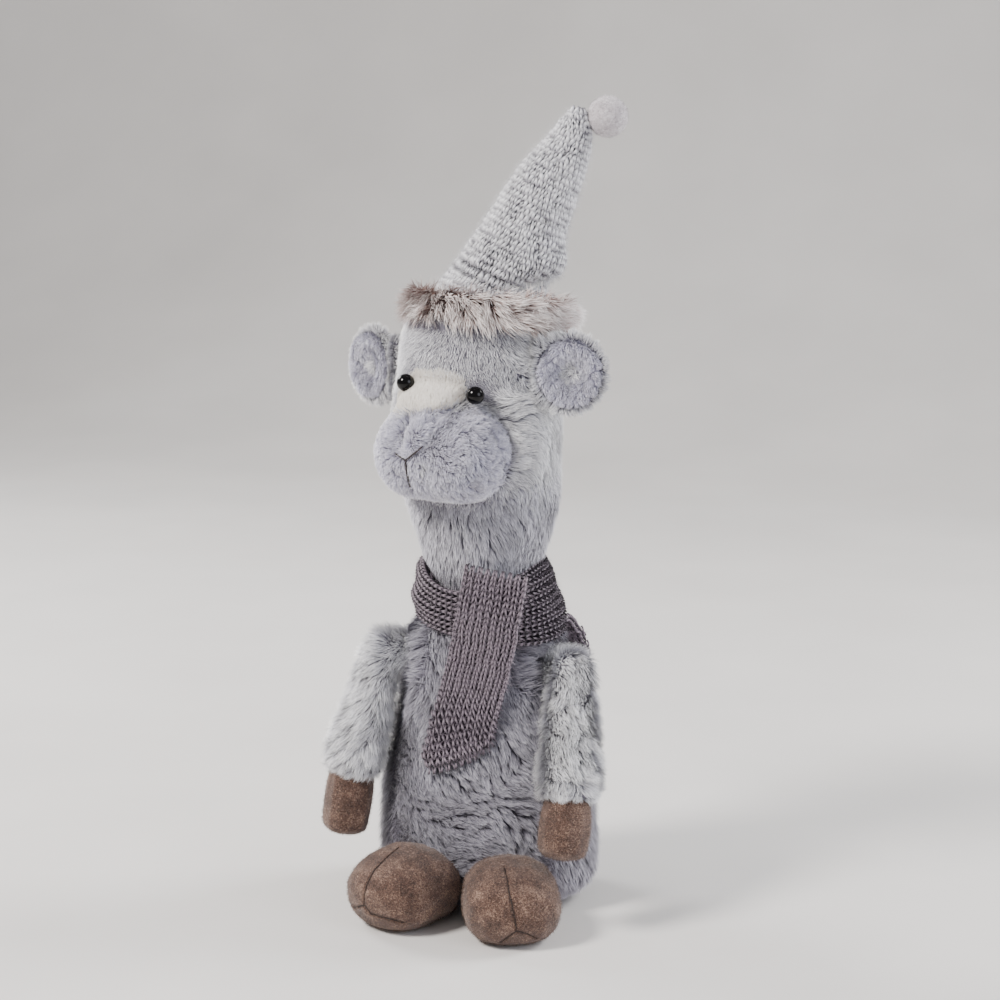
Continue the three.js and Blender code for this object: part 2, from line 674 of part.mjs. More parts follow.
// Feet: each lifts a little about a round root in the front of the torso
function footParts(side, yaw, forwardOfMiddle) {
  const turn = radians(yaw);
  const ahead = vec(side * Math.sin(turn), -Math.cos(turn), 0);
  const across = vec(Math.cos(turn), side * Math.sin(turn), 0);
  const axisPoint = vec(side * footSpread, -forwardOfMiddle, footAxisHeight);
  const at = (forward, deep) => axisPoint.clone().addScaledVector(ahead, forward).setZ(deep - footSink);
  const upperStations = [
    [0, footHalfWidth - 2, footRootRadius + 2],
    [footLength * 0.3, footHalfWidth - 0.5, footHalfHeight],
    [footLength * 0.65, footHalfWidth, (2 * footHalfHeight + toeHalfHeight) / 3],
    [footLength, footHalfWidth - 3, toeHalfHeight],
  ];
  const upper = (grow) => stuffed({
    stations: upperStations.map(([forward, wide, deep]) => ({ at: at(forward, deep), wide, deep })),
    across, roundness: 2.3, rings: 8, sides: 16, endRound: toeRound, grow,
  });
  const root = (grow) => {
    const sections = 4;
    const rings = Array.from({ length: sections + 1 }, (_, i) => {
      const share = -1 + (2 * i) / sections;
      const radius = (footRootRadius * (1 - Math.abs(share) ** 2.6) ** (1 / 2.6) || 0.4) + grow;
      const centre = axisPoint.clone().addScaledVector(across, share * (footHalfWidth - 2 + grow));
      return Array.from({ length: 14 }, (__, j) => {
        const around = (2 * Math.PI * j) / 14;
        return centre.clone().addScaledVector(ahead, radius * Math.cos(around))
          .addScaledVector(up, radius * Math.sin(around));
      });
    });
    return skinOver(rings);
  };
  const back = (grow) => block(huge, huge, huge, frameOf(across, ahead.clone().negate(), up)
    .setPosition(axisPoint.clone().addScaledVector(ahead, -footRootDepth - grow - huge / 2)));
  const whole = (grow) => cutBy(joined(upper(grow), root(grow)), back(grow), below(0));
  const bevel = cutBy(above(-1), below(solePanelThickness + seatGap));
  const foot = whole(0).intersect(bevel);
  const behindAxis = block(huge, huge, huge, frameOf(across, ahead.clone().negate(), up)
    .setPosition(axisPoint.clone().addScaledVector(ahead, -huge / 2 + 1)));
  const sole = cutBy(whole(-0.4).intersect(below(solePanelThickness)), behindAxis);
  return { axisPoint, across, foot, sole, whole };
}

const feet = {
  right: footParts(-1, rightFootYaw, rightFootForward),
  left: footParts(1, leftFootYaw, leftFootForward),
};

// Turns that lift a toe are about the across axis, seen from the llama's right
const footSweep = (foot, grow) => swept(foot.whole(grow), foot.axisPoint, foot.across, 0, -footRange, 1);

// Torso covers and filling
const seamFrame = new THREE.Matrix4().makeRotationX(radians(-seamLean));
const seamPoint = vec(0, -seamForwardAtHip, hipHeight + 2);
const frontOfSeam = (gap) => {
  const inward = vec(0, -huge / 2 - gap, 0).applyMatrix4(seamFrame);
  return block(huge, huge, huge, seamFrame.clone().setPosition(seamPoint.clone().add(inward)));
};
const behindSeam = (gap) => {
  const inward = vec(0, huge / 2 + gap, 0).applyMatrix4(seamFrame);
  return block(huge, huge, huge, seamFrame.clone().setPosition(seamPoint.clone().add(inward)));
};

const nodSeat = ball(nodRadius + runningGap, nodPoint, 24);
const torsoTools = [nodSeat, footSweep(feet.right, runningGap), footSweep(feet.left, runningGap),
  arms.right.boss(seatGap), arms.left.boss(seatGap)];
const hollow = joined(torso(-furThickness).intersect(below(collarHeight - furThickness)),
  block(huge, huge, 1, new THREE.Matrix4().setPosition(0, 0, -5)));
const cover = cutBy(torso(0), hollow, ...torsoTools);
const filling = cutBy(torso(-furThickness - seatGap), ...torsoTools,
  above(collarHeight - furThickness - seatGap));

addPiece('belly_cover', cover.intersect(frontOfSeam(seatGap / 2)), greyFur);
addPiece('back_cover', cover.intersect(behindSeam(seatGap / 2)), sideFur);
addPiece('base_panel', filling.intersect(below(basePanelThickness)), sideFur);
addPiece('pellet_bag', cutBy(filling, below(basePanelThickness + seatGap), above(pelletFill)), whiteFill);
addPiece('torso_stuffing', cutBy(filling, below(pelletFill + seatGap)), whiteFill);

// Head and neck
addPiece('neck', neck(0), greyFur);
const eyeTools = Object.values(eyes).flatMap(({ bead, washer }) => [bead(seatGap), washer(seatGap)]);
const earTools = Object.values(ears).map(({ rootSolid }) => rootSolid(seatGap));
addPiece('head', cutBy(head(0), ...eyeTools, ...earTools), greyFur);
addPiece('muzzle', cutBy(muzzle(0), head(seatGap), neck(seatGap)), shortPlush);

const blazeBlock = block(2 * blazeHalfWidth, huge, blazeTop - blazeBottom,
  headFrame.clone().setPosition(headCentre.clone().addScaledVector(faceWay, huge / 2)
    .setZ((blazeTop + blazeBottom) / 2)));
const faceSkin = cutBy(joined(head(blazeThickness + seatGap), muzzle(blazeThickness + seatGap)),
  head(seatGap), muzzle(seatGap), ...Object.values(eyes).map(({ bead }) => bead(seatGap)));
addPiece('blaze_panel', faceSkin.intersect(blazeBlock), creamPlush);

Object.entries(eyes).forEach(([side, { bead, washer }]) => {
  addPiece(`eye_${side}`, bead(0), blackBead);
  addPiece(`eye_washer_${side}`, cutBy(washer(0), bead(seatGap)), washerPlastic);
});

Object.entries(ears).forEach(([side, { outer, lining }]) => {
  addPiece(`ear_${side}`, outer, greyFur);
  addPiece(`ear_lining_${side}`, lining, shortPlush);
});

Object.entries(arms).forEach(([side, { arm, hand }]) => {
  addPiece(`arm_${side}`, arm, greyFur);
  addPiece(`hand_${side}`, hand, brownFelt);
});

Object.entries(feet).forEach(([side, { foot, sole }]) => {
  addPiece(`foot_${side}`, foot, brownFelt);
  addPiece(`sole_${side}`, sole, brownFelt);
});

// Scarf: a wrap that lies on the shoulders, wider on the left
function scarfWrap() {
  const count = 28;
  const rings = Array.from({ length: count }, (_, i) => {
    const angle = (2 * Math.PI * i) / count;
    const way = vec(Math.cos(angle), Math.sin(angle), 0);
    const leftShare = (1 + Math.cos(angle + radians(20))) / 2;
    const drop = THREE.MathUtils.lerp(scarfDropRight, scarfDropLeft, leftShare);
    const low = scarfTop - drop;
    const lowRadius = torsoReach(way, low) - way.x * neckOffset + scarfThickness / 2 + seatGap;
    const highRadius = scarfTopRadius - scarfThickness / 2;
    return Array.from({ length: 8 }, (__, j) => {
      const around = (2 * Math.PI * j) / 8;
      const height = superSin(around, 3);
      const radius = THREE.MathUtils.lerp(lowRadius, highRadius, (1 + height) / 2)
        + wrapBulge * (1 - height * height) + (scarfThickness / 2) * superCos(around, 3);
      return vec(neckOffset, 0, (low + scarfTop) / 2 + (height * drop) / 2).addScaledVector(way, radius);
    });
  });
  return ringSolid(rings);
}

const nodSweep = swept(neck(runningGap), nodPoint, xAxis, -nodRange, nodRange, 2);
addPiece('scarf_wrap', cutBy(scarfWrap(), torso(seatGap), nodSweep), scarfKnit);

// A strip of the scarf, rounded at both ends, that curves a little across its width
function tail(stations, across, bend) {
  const spine = new THREE.CatmullRomCurve3(stations, false, 'centripetal');
  const steps = 10;
  const half = tailThickness / 2;
  const ends = [[-half, 0.2], [-half * 0.6, 0.8]];
  const places = [
    ...ends.map(([past, share]) => [0, past, share]),
    ...Array.from({ length: steps + 1 }, (_, i) => [i / steps, 0, 1]),
    ...ends.reverse().map(([past, share]) => [1, -past, share]),
  ];
  return skinOver(places.map(([along, past, share]) => {
    const tangent = spine.getTangent(along);
    const centre = spine.getPoint(along).addScaledVector(tangent, past);
    const side = across.clone().addScaledVector(tangent, -across.dot(tangent)).normalize();
    const face = tangent.clone().cross(side);
    return Array.from({ length: 12 }, (_, j) => {
      const around = (2 * Math.PI * j) / 12;
      const wide = (scarfWidth / 2 - half * (1 - share)) * superCos(around, 3.2);
      return centre.clone().addScaledVector(side, wide)
        .addScaledVector(face, half * share * superSin(around, 3.2) + bend * (wide / scarfWidth) ** 2);
    });
  }));
}

const tailDistance = (way, height, extra) => torsoReach(way, height) - way.x * neckOffset + extra;
const frontWay = vec(0, -1, 0);
const wrapFoot = scarfTop - wrapFrontDrop;
const overWrap = tailDistance(frontWay, wrapFoot, scarfThickness + tailThickness / 2);
const frontOut = (height) => Math.max(tailDistance(frontWay, height, tailThickness / 2 + tailEase),
  height > wrapFoot ? overWrap : 0);
const frontTailStations = [tailHingeHeight + 2, 150, 128, 106, frontTailBottom].map((height) => {
  const share = (tailHingeHeight - height) / (tailHingeHeight - frontTailBottom);
  const x = THREE.MathUtils.lerp(frontTailTopX, frontTailBottomX, share ** 1.2 || 0);
  return vec(x, -frontOut(height), height);
});
addPiece('scarf_front_tail', tail(frontTailStations, xAxis, tailBend), scarfKnit);

const backWay = vec(Math.cos(radians(backTailYaw)), Math.sin(radians(backTailYaw)), 0);
const backAcross = vec(Math.sin(radians(backTailYaw)), -Math.cos(radians(backTailYaw)), 0);
const backRoot = torsoReach(backWay, backHingeHeight) + backTailEase;
const backTailStations = [
  [backHingeHeight, 0], [backHingeHeight - 6, 5.5], [backHingeHeight - 15, 10.5], [backHingeHeight - 38, 13],
  [backTailBottom, 15.5],
].map(([height, swell]) => backWay.clone().multiplyScalar(backRoot + swell).setZ(height));
addPiece('scarf_back_tail', tail(backTailStations, backAcross, tailBend), scarfKnit);

addPiece('hat_cone', joined(hatCone, cutBy(tipBall(0), coneCore)), hatKnit);
addPiece('hat_stuffing', cutBy(cone(-knitThickness - seatGap), head(seatGap)), whiteFill);
addPiece('hat_brim', cutBy(brim(), head(seatGap), cone(seatGap)), brimFur);
addPiece('pom_pom', pomPom, ballFelt);

export default llama;
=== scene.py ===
from functools import partial
import math
import bpy
import bmesh
from mathutils import Matrix, Vector, noise
from mathutils.bvhtree import BVHTree
from mathutils.kdtree import KDTree


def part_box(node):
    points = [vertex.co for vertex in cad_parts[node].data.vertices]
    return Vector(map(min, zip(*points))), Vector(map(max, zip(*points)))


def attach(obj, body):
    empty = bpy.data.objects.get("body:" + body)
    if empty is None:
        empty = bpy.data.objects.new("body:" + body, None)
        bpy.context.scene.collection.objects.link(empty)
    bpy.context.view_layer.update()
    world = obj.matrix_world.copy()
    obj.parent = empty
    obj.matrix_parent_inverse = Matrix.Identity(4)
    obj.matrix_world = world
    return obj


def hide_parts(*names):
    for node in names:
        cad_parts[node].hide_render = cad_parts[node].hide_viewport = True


# A sitting plush llama in a knitted scarf and a pointed hat.
# Sizes are in millimetres in the settings and in metres in the meshes.
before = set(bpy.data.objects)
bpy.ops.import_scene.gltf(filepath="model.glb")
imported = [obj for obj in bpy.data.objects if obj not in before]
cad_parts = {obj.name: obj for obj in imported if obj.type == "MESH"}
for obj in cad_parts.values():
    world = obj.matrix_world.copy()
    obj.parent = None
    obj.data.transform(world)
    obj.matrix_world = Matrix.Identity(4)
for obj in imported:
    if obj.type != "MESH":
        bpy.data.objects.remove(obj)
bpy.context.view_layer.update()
mm = 0.001
up, down = Vector((0, 0, 1)), Vector((0, 0, -1))
# the kinds of node that come up often
mathNode, vectorNode, randomNode = "ShaderNodeMath", "ShaderNodeVectorMath", "FunctionNodeRandomValue"
noiseNode, rampNode, bumpNode = "ShaderNodeTexNoise", "ShaderNodeValToRGB", "ShaderNodeBump"
joinNode, splitNode = "ShaderNodeCombineXYZ", "ShaderNodeSeparateXYZ"
storeNode, scatterNode = "GeometryNodeStoreNamedAttribute", "GeometryNodeDistributePointsOnFaces"


def linear(hexColor):
    channels = [int(hexColor[i:i + 2], 16) / 255 for i in (1, 3, 5)]
    return tuple(c / 12.92 if c <= 0.04045 else ((c + 0.055) / 1.055) ** 2.4 for c in channels) + (1.0,)


def outOf(node, name=None):
    return next(s for s in node.outputs if s.enabled and name in (None, s.name))


# Adds a node. Links and values go in by input name or number; a colour ramp takes stops of (place, colour).
def addNode(tree, kind, links=(), stops=(), **settings):
    node = tree.nodes.new(kind)
    for name, value in settings.items():
        setattr(node, name, value)
    for key, value in links.items() if isinstance(links, dict) else enumerate(links):
        socket = node.inputs[key] if isinstance(key, int) else next(
            s for s in node.inputs if s.enabled and s.name == key)
        if isinstance(value, bpy.types.Node):
            value = outOf(value)
        if isinstance(value, bpy.types.NodeSocket):
            tree.links.new(value, socket)
        else:
            socket.default_value = value
    while stops and len(node.color_ramp.elements) < len(stops):
        node.color_ramp.elements.new(0.5)
    for i, (at, color) in enumerate(stops):
        element = node.color_ramp.elements[i]
        element.position, element.color = at, linear(color)
    return node


def newObject(name, mesh):
    thing = bpy.data.objects.new(name, mesh)
    bpy.context.scene.collection.objects.link(thing)
    return thing


def meshFrom(name, points, faces, smooth=True):
    mesh = bpy.data.meshes.new(name)
    mesh.from_pydata([tuple(p) for p in points], [], faces)
    if smooth:
        mesh.shade_smooth()
    mesh.update()
    return mesh


def remove(thing):
    data = thing.data
    bpy.data.objects.remove(thing)
    if data and data.users == 0:
        bpy.data.meshes.remove(data)


# Turns the modified mesh into the object's own
def applied(thing):
    graph = bpy.context.evaluated_depsgraph_get()
    mesh = bpy.data.meshes.new_from_object(thing.evaluated_get(graph), preserve_all_data_layers=True,
                                           depsgraph=graph)
    thing.modifiers.clear()
    old = thing.data
    thing.data = mesh
    if old.users == 0:
        bpy.data.meshes.remove(old)
    return thing


# Smooth value between stations of (position, value)
def between(stations, at):
    last = len(stations) - 1
    step = next((i for i in range(last) if at <= stations[i + 1][0]), last - 1)
    x0, x1 = stations[step][0], stations[step + 1][0]
    t = min(max((at - x0) / (x1 - x0), 0), 1)
    p = [stations[min(max(step + k, 0), last)][1] for k in (-1, 0, 1, 2)]
    v0, v1 = (p[2] - p[0]) / 2, (p[3] - p[1]) / 2
    return ((2 * p[1] - 2 * p[2] + v0 + v1) * t ** 3 + (3 * p[2] - 3 * p[1] - 2 * v0 - v1) * t ** 2
            + v0 * t + p[1])


def smoothStep(low, high, value):
    t = min(max((value - low) / (high - low), 0), 1)
    return t * t * (3 - 2 * t)


# A share of 0-1 as a value that starts at the least
def atLeast(least, share):
    return least + (1 - least) * share


# A sine or cosine bent so that an oval gets the given roundness
def rounded(wave, power):
    return math.copysign(abs(wave) ** (2 / power), wave)


def level(angle):
    return Vector((math.cos(angle), math.sin(angle), 0))


# A closed skin over rings of points in millimetres
def loft(name, rings):
    sides = len(rings[0])
    points = [p * mm for ring in rings for p in ring]
    faces = [(r + s, r + (s + 1) % sides, r + sides + (s + 1) % sides, r + sides + s)
             for r in range(0, (len(rings) - 1) * sides, sides) for s in range(sides)]
    for ring, flip in ((rings[0], True), (rings[-1], False)):
        start = 0 if flip else (len(rings) - 1) * sides
        points.append(sum(ring, Vector()) / sides * mm)
        middle = len(points) - 1
        for s in range(sides):
            a, b = start + s, start + (s + 1) % sides
            faces.append((middle, b, a) if flip else (middle, a, b))
    return newObject(name, meshFrom(name, points, faces))


# A soft skin from a CAD solid: merged, remeshed, relaxed and drawn in
def softSkin(name, node, voxel, inset=0.0, relax=8):
    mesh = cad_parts[node].data.copy()
    mesh.name = name
    thing = newObject(name, mesh)
    return softened(thing, voxel, inset, relax)


def softened(thing, voxel, inset=0.0, relax=8):
    form = bmesh.new()
    form.from_mesh(thing.data)
    bmesh.ops.remove_doubles(form, verts=form.verts, dist=0.02 * mm)
    form.to_mesh(thing.data)
    form.free()
    remesh = thing.modifiers.new("voxels", "REMESH")
    remesh.mode = "VOXEL"
    remesh.voxel_size = voxel * mm
    applied(thing)
    form = bmesh.new()
    form.from_mesh(thing.data)
    for _ in range(relax):
        bmesh.ops.smooth_vert(form, verts=form.verts, factor=0.5, use_axis_x=True, use_axis_y=True,
                              use_axis_z=True)
    if inset:
        form.normal_update()
        moves = [v.normal * (inset * mm) for v in form.verts]
        for vert, move in zip(form.verts, moves):
            vert.co -= move
    form.normal_update()
    form.to_mesh(thing.data)
    form.free()
    thing.data.materials.clear()
    thing.data.shade_smooth()
    return thing


def fromForm(name, form):
    mesh = bpy.data.meshes.new(name)
    form.to_mesh(mesh)
    form.free()
    return newObject(name, mesh)


def joinedSkin(name, parts):
    form = bmesh.new()
    for part in parts:
        form.from_mesh(part.data)
        remove(part)
    return fromForm(name, form)


def egg(name, half, centre, turn, rows=32):
    form = bmesh.new()
    bmesh.ops.create_uvsphere(form, u_segments=48, v_segments=rows, radius=1.0)
    shape = Matrix.Translation(centre * mm) @ turn.to_4x4() @ Matrix.Diagonal([h * mm for h in half] + [1])
    bmesh.ops.transform(form, matrix=shape, verts=form.verts)
    return fromForm(name, form)


# A round thread through points in metres
def tube(name, points, radius, sides=6, wobble=0.0):
    rings = []
    for i, point in enumerate(points):
        ahead = (points[min(i + 1, len(points) - 1)] - points[max(i - 1, 0)]).normalized()
        side = ahead.cross(Vector((0.31, 0.22, 0.93))).normalized()
        face = ahead.cross(side)
        thick = radius * (1 + wobble * noise.noise(point * 900)) * (0.5 if i in (0, len(points) - 1) else 1)
        rings.append([point / mm + (side * math.cos(a) + face * math.sin(a)) * thick
                      for a in (2 * math.pi * s / sides for s in range(sides))])
    return loft(name, rings)


# A tree of close points along lines given in metres
def lineTree(lines):
    points = []
    for line in lines:
        for a, b in zip(line, line[1:]):
            count = max(1, round((b - a).length / (0.25 * mm)))
            points += [a.lerp(b, i / count) for i in range(count + 1)]
    tree = KDTree(len(points))
    for i, point in enumerate(points):
        tree.insert(point, i)
    tree.balance()
    return tree


# Draws a surface in along seam lines given in metres
def crease(thing, lines, depth, width):
    tree = lineTree(lines)
    verts = thing.data.vertices
    ways = [v.normal.copy() for v in verts]
    for vert, way in zip(verts, ways):
        near = tree.find(vert.co)[2] / mm
        if near < 3 * width:
            vert.co -= way * (depth * mm * math.exp(-(near / width) ** 2))
    thing.data.update()


# A line over a surface that shows along a path of pixels
def seamOver(tree, path, step=1.5):
    places = []
    for (ax, ay), (bx, by) in zip(path, path[1:]):
        count = max(1, round(math.hypot(bx - ax, by - ay) / step))
        for i in range(count):
            places.append(onSurface(tree, ax + (bx - ax) * i / count, ay + (by - ay) * i / count))
    return [place for place in places + [onSurface(tree, *path[-1])] if place]


def treeOf(thing):
    form = bmesh.new()
    form.from_mesh(thing.data)
    tree = BVHTree.FromBMesh(form)
    form.free()
    return tree


cameraSetup = dict(
    azimuth=15.0, elevation=11.0, distance=1180.0, lens=85.0, sensor=36.0, aim=(6.0, 0.0, 205.0))


def makeCamera(s):
    az, el = math.radians(s["azimuth"]), math.radians(s["elevation"])
    away = Vector((math.sin(az) * math.cos(el), -math.cos(az) * math.cos(el), math.sin(el)))
    data = bpy.data.cameras.new("camera")
    data.lens, data.sensor_width = s["lens"], s["sensor"]
    data.clip_start, data.clip_end = 0.05, 30
    thing = newObject("camera", data)
    thing.location = (Vector(s["aim"]) + away * s["distance"]) * mm
    thing.rotation_euler = (-away).to_track_quat("-Z", "Y").to_euler()
    bpy.context.scene.camera = thing
    bpy.context.view_layer.update()
    return thing


camera = makeCamera(cameraSetup)
viewSize = 1000  # the photograph is 1000 by 1000
viewReach = cameraSetup["lens"] / cameraSetup["sensor"] * viewSize
viewTurn = camera.matrix_world.to_3x3()
viewFrom = camera.matrix_world.translation.copy()


# Where a point in metres shows in the photograph
def pixelOf(point):
    local = viewTurn.transposed() @ (Vector(point) - viewFrom)
    reach = viewReach / -local.z
    return viewSize / 2 + local.x * reach, viewSize / 2 - local.y * reach


# The point of a surface that shows at a pixel
def onSurface(tree, px, py):
    way = viewTurn @ Vector(((px - viewSize / 2) / viewReach, (viewSize / 2 - py) / viewReach, -1)).normalized()
    return tree.ray_cast(viewFrom, way)[0]


def distanceToPath(x, y, path):
    best = math.inf
    for (ax, ay), (bx, by) in zip(path, path[1:]):
        dx, dy = bx - ax, by - ay
        t = min(max(((x - ax) * dx + (y - ay) * dy) / (dx * dx + dy * dy), 0), 1)
        best = min(best, math.hypot(x - ax - t * dx, y - ay - t * dy))
    return best


def insideShape(x, y, shape):
    inside = False
    for (ax, ay), (bx, by) in zip(shape, shape[1:] + shape[:1]):
        if (ay > y) != (by > y) and x < (bx - ax) * (y - ay) / (by - ay) + ax:
            inside = not inside
    return inside


def emptyMaterial(name):
    material = bpy.data.materials.new(name)
    material.use_nodes = True
    material.node_tree.nodes.clear()
    return material, partial(addNode, material.node_tree)


def shaded(material, inputs):
    shader = addNode(material.node_tree, "ShaderNodeBsdfPrincipled", inputs)
    addNode(material.node_tree, "ShaderNodeOutputMaterial", {"Surface": shader})
    return material


# The colour of a strand or stitch: its own shade across U of its map, the stops along V
def strandColor(add, stops, darkest, lightest):
    split = add(splitNode, (add("ShaderNodeUVMap", uv_map="OFBake"),))
    along = add(rampNode, (outOf(split, "Y"),), stops)
    shade = add("ShaderNodeMapRange", {"Value": outOf(split, "X"), "To Min": darkest, "To Max": lightest})
    return add(vectorNode, {0: along, "Scale": shade}, operation="SCALE")


# Faux fur: acrylic pile, dark at the root where little light gets in, pale and frosted at the tip
def furMaterial(name, stops, darkest=0.6, lightest=1.15, roughness=0.6, sheen=0.3):
    material, add = emptyMaterial(name)
    return shaded(material, {
        "Base Color": strandColor(add, stops, darkest, lightest), "Roughness": roughness,
        "Specular IOR Level": 0.4, "Sheen Weight": sheen, "Sheen Roughness": 0.4})


silverFur = furMaterial("silver-grey acrylic faux fur", [
    (0.05, "#74717d"), (0.25, "#a8a7b1"), (0.5, "#d8d8df"), (0.85, "#ffffff")], darkest=0.66, lightest=1.1)
# A darker copy of the silver fur: painted shade on the belly and shoulders, which lie in the shade of the head
# and arms
shadedTorsoFur = furMaterial("grey acrylic faux fur darkened as painted shade", [
    (0.05, "#3a3541"), (0.3, "#65616e"), (0.6, "#94919e"), (0.92, "#cdccd6")])
sideFur = furMaterial("smooth grey acrylic faux fur", [
    (0.05, "#575260"), (0.4, "#8f8b97"), (0.95, "#c3c0ca")])
# A darker copy of the silver fur: painted shade under the chin, blended in below the head
shadedNeckFur = furMaterial("silver long-pile fur of the neck darkened as painted shade", [
    (0.05, "#565260"), (0.3, "#86838f"), (0.6, "#b4b2bd"), (0.92, "#e6e6ed")])
mutedPlush = furMaterial("lilac-grey short-pile plush", [
    (0.05, "#918fa3"), (0.4, "#b6b4c8"), (0.7, "#d6d5e6"), (0.95, "#ffffff")], darkest=0.74, lightest=1.06,
    roughness=0.36, sheen=0.4)
creamPlush = furMaterial("cream short-pile plush", [
    (0.05, "#ddd4c6"), (0.5, "#f3ede4"), (0.95, "#fdfaf5")], darkest=0.94, lightest=1.02)
brimFur = furMaterial("two-tone shaggy faux fur", [
    (0.05, "#57403a"), (0.3, "#8c7068"), (0.52, "#cbb8b3"), (0.78, "#fdf8f6")], darkest=0.7, lightest=1.1)


# Knitted polyester backing of the pile, matt and darker than the tips, with loops of about 1 mm
def backingMaterial(name, color):
    material, add = emptyMaterial(name)
    where = outOf(add("ShaderNodeTexCoord"), "Object")
    grain = add(noiseNode, {"Vector": where, "Scale": 900.0, "Detail": 2.0})
    full = linear(color)
    dark = tuple(0.6 * c for c in full[:3]) + (1.0,)
    mix = add("ShaderNodeMix", {0: grain, 6: dark, 7: full}, data_type="RGBA")
    return shaded(material, {"Base Color": mix.outputs[2], "Roughness": 0.95, "Specular IOR Level": 0.15})


greyBacking = backingMaterial("grey knitted pile backing", "#7d7a86")
brownBacking = backingMaterial("brown knitted pile backing", "#664f46")
plushBacking = backingMaterial("lilac knitted plush backing", "#aeacbd")
# The scarf's ground shows only between its stitches and is coloured near black as the shade there: painted shade
scarfShadeGround = backingMaterial("dark mauve ground painted as the shade between stitches", "#231c24")
# The hat's ground shows only between its stitches and is coloured darker than the yarn as the shade there:
# painted shade
hatShadeGround = backingMaterial("grey ground painted as the shade between stitches", "#66656b")


# Heather wool-blend felt: pressed fibres about 0.3 mm thick, in three shades, drawn coarser so that they show
def feltMaterial(name, dark, body, light, fleck=0.9, bump=0.6):
    material, add = emptyMaterial(name)
    where = outOf(add("ShaderNodeTexCoord"), "Object")
    flecks = add(noiseNode, {"Vector": where, "Scale": 1 / (fleck * mm), "Detail": 3.0, "Roughness": 0.65,
                             "Distortion": 1.2})
    patches = add(noiseNode, {"Vector": where, "Scale": 120.0, "Detail": 2.0})
    mottled = add(mathNode, (patches, 0.35, -0.175), operation="MULTIPLY_ADD")
    both = add(mathNode, (flecks, mottled), operation="ADD")
    return shaded(material, {
        "Base Color": add(rampNode, (both,), [(0.38, dark), (0.47, body), (0.54, body), (0.66, light)]),
        "Normal": add(bumpNode, {"Height": outOf(flecks), "Strength": bump, "Distance": 0.6 * mm}),
        "Roughness": 0.92, "Specular IOR Level": 0.2, "Sheen Weight": 0.2, "Sheen Roughness": 0.6})


brownFelt = feltMaterial("heather brown wool felt", "#30221c", "#573f35", "#a08370", fleck=0.75)
paleFelt = feltMaterial("pale grey pressed felt", "#a39ba0", "#bfb8bc", "#d6d1d4", fleck=1.4, bump=0.3)
brownFuzz = furMaterial("loose brown felt fibres", [(0.05, "#4a3830"), (0.95, "#a08779")])
paleFuzz = furMaterial("loose pale felt fibres", [(0.05, "#b9b3b6"), (0.95, "#ebe8ea")])


# Acrylic yarn: soft and matt; each loop is painted darker at its ends, as the shade where they dip under the next
# one, and lighter along its middle as a painted highlight
def yarnMaterial(name, deep, body, light, darkest=0.72, lightest=1.25):
    material, add = emptyMaterial(name)
    where = outOf(add("ShaderNodeTexCoord"), "Object")
    fibres = add(noiseNode, {"Vector": where, "Scale": 2200.0, "Detail": 2.0})
    # deep at the loop's ends is painted shade, light at its middle a painted highlight
    stops = [(0.05, deep), (0.28, body), (0.55, light), (0.8, body), (0.95, deep)]
    return shaded(material, {
        "Base Color": strandColor(add, stops, darkest, lightest),
        "Normal": add(bumpNode, {"Height": outOf(fibres), "Strength": 0.6, "Distance": 0.25 * mm}),
        "Roughness": 0.88, "Specular IOR Level": 0.25, "Sheen Weight": 0.35, "Sheen Roughness": 0.5})


mauveYarn = yarnMaterial("mauve-grey acrylic knitting yarn", "#211a21", "#514751", "#8f838d")
hatYarn = yarnMaterial("pale grey slubby knitting yarn", "#605e66", "#acaab1", "#fafafd", darkest=0.6,
                       lightest=1.15)
hatFuzz = furMaterial("pale grey yarn fuzz", [(0.05, "#c4c4c9"), (0.95, "#f5f5f8")])
scarfFuzz = furMaterial("mauve-grey yarn fuzz", [(0.05, "#7d707e"), (0.95, "#bdafbc")])


# Safety eye: black ABS with a polished dome, so it holds small sharp reflections
def beadMaterial():
    material, add = emptyMaterial("polished black ABS bead")
    haze = add(noiseNode, {"Vector": outOf(add("ShaderNodeTexCoord"), "Object"), "Scale": 400.0})
    gloss = add("ShaderNodeMapRange", {"Value": outOf(haze), "To Min": 0.05, "To Max": 0.12})
    return shaded(material, {"Base Color": linear("#050405"), "Roughness": gloss, "Specular IOR Level": 0.25})


# A material mottled by one noise between two shades
def mottledMaterial(name, stops, scale, roughness, detail=2.0, bump=0.0):
    material, add = emptyMaterial(name)
    where = outOf(add("ShaderNodeTexCoord"), "Object")
    grain = add(noiseNode, {"Vector": where, "Scale": scale, "Detail": detail})
    inputs = {"Base Color": add(rampNode, (grain,), stops), "Roughness": roughness}
    if bump:
        inputs["Normal"] = add(bumpNode, {"Height": outOf(grain), "Strength": bump, "Distance": 0.5 * mm})
    return shaded(material, inputs)


blackBead = beadMaterial()
# twisted cotton thread, its strands about 0.7 mm apart
darkThread = mottledMaterial("dark taupe embroidery thread", [(0.35, "#1d1718"), (0.7, "#3d3233")], 1500.0, 0.7)
brownThread = mottledMaterial("dark brown sewing thread", [(0.35, "#150d0a"), (0.7, "#35241d")], 1500.0, 0.7)
# loose polyester fibre in tufts of about 3 mm, and moulded nylon washers, sealed inside
fibreFill = mottledMaterial("white polyester fibrefill", [(0.3, "#dcdcd6"), (0.7, "#f6f6f2")], 300.0, 1.0,
                            detail=5.0, bump=0.5)
washerNylon = mottledMaterial("moulded white nylon", [(0.3, "#dededa"), (0.7, "#ebebe7")], 900.0, 0.45,
                              detail=5.0, bump=0.5)
for inner, finish in (("torso_stuffing", fibreFill), ("pellet_bag", fibreFill), ("hat_stuffing", fibreFill),
                      ("eye_washer_right", washerNylon), ("eye_washer_left", washerNylon)):
    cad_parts[inner].data.materials.clear()
    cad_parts[inner].data.materials.append(finish)
print("materials done")


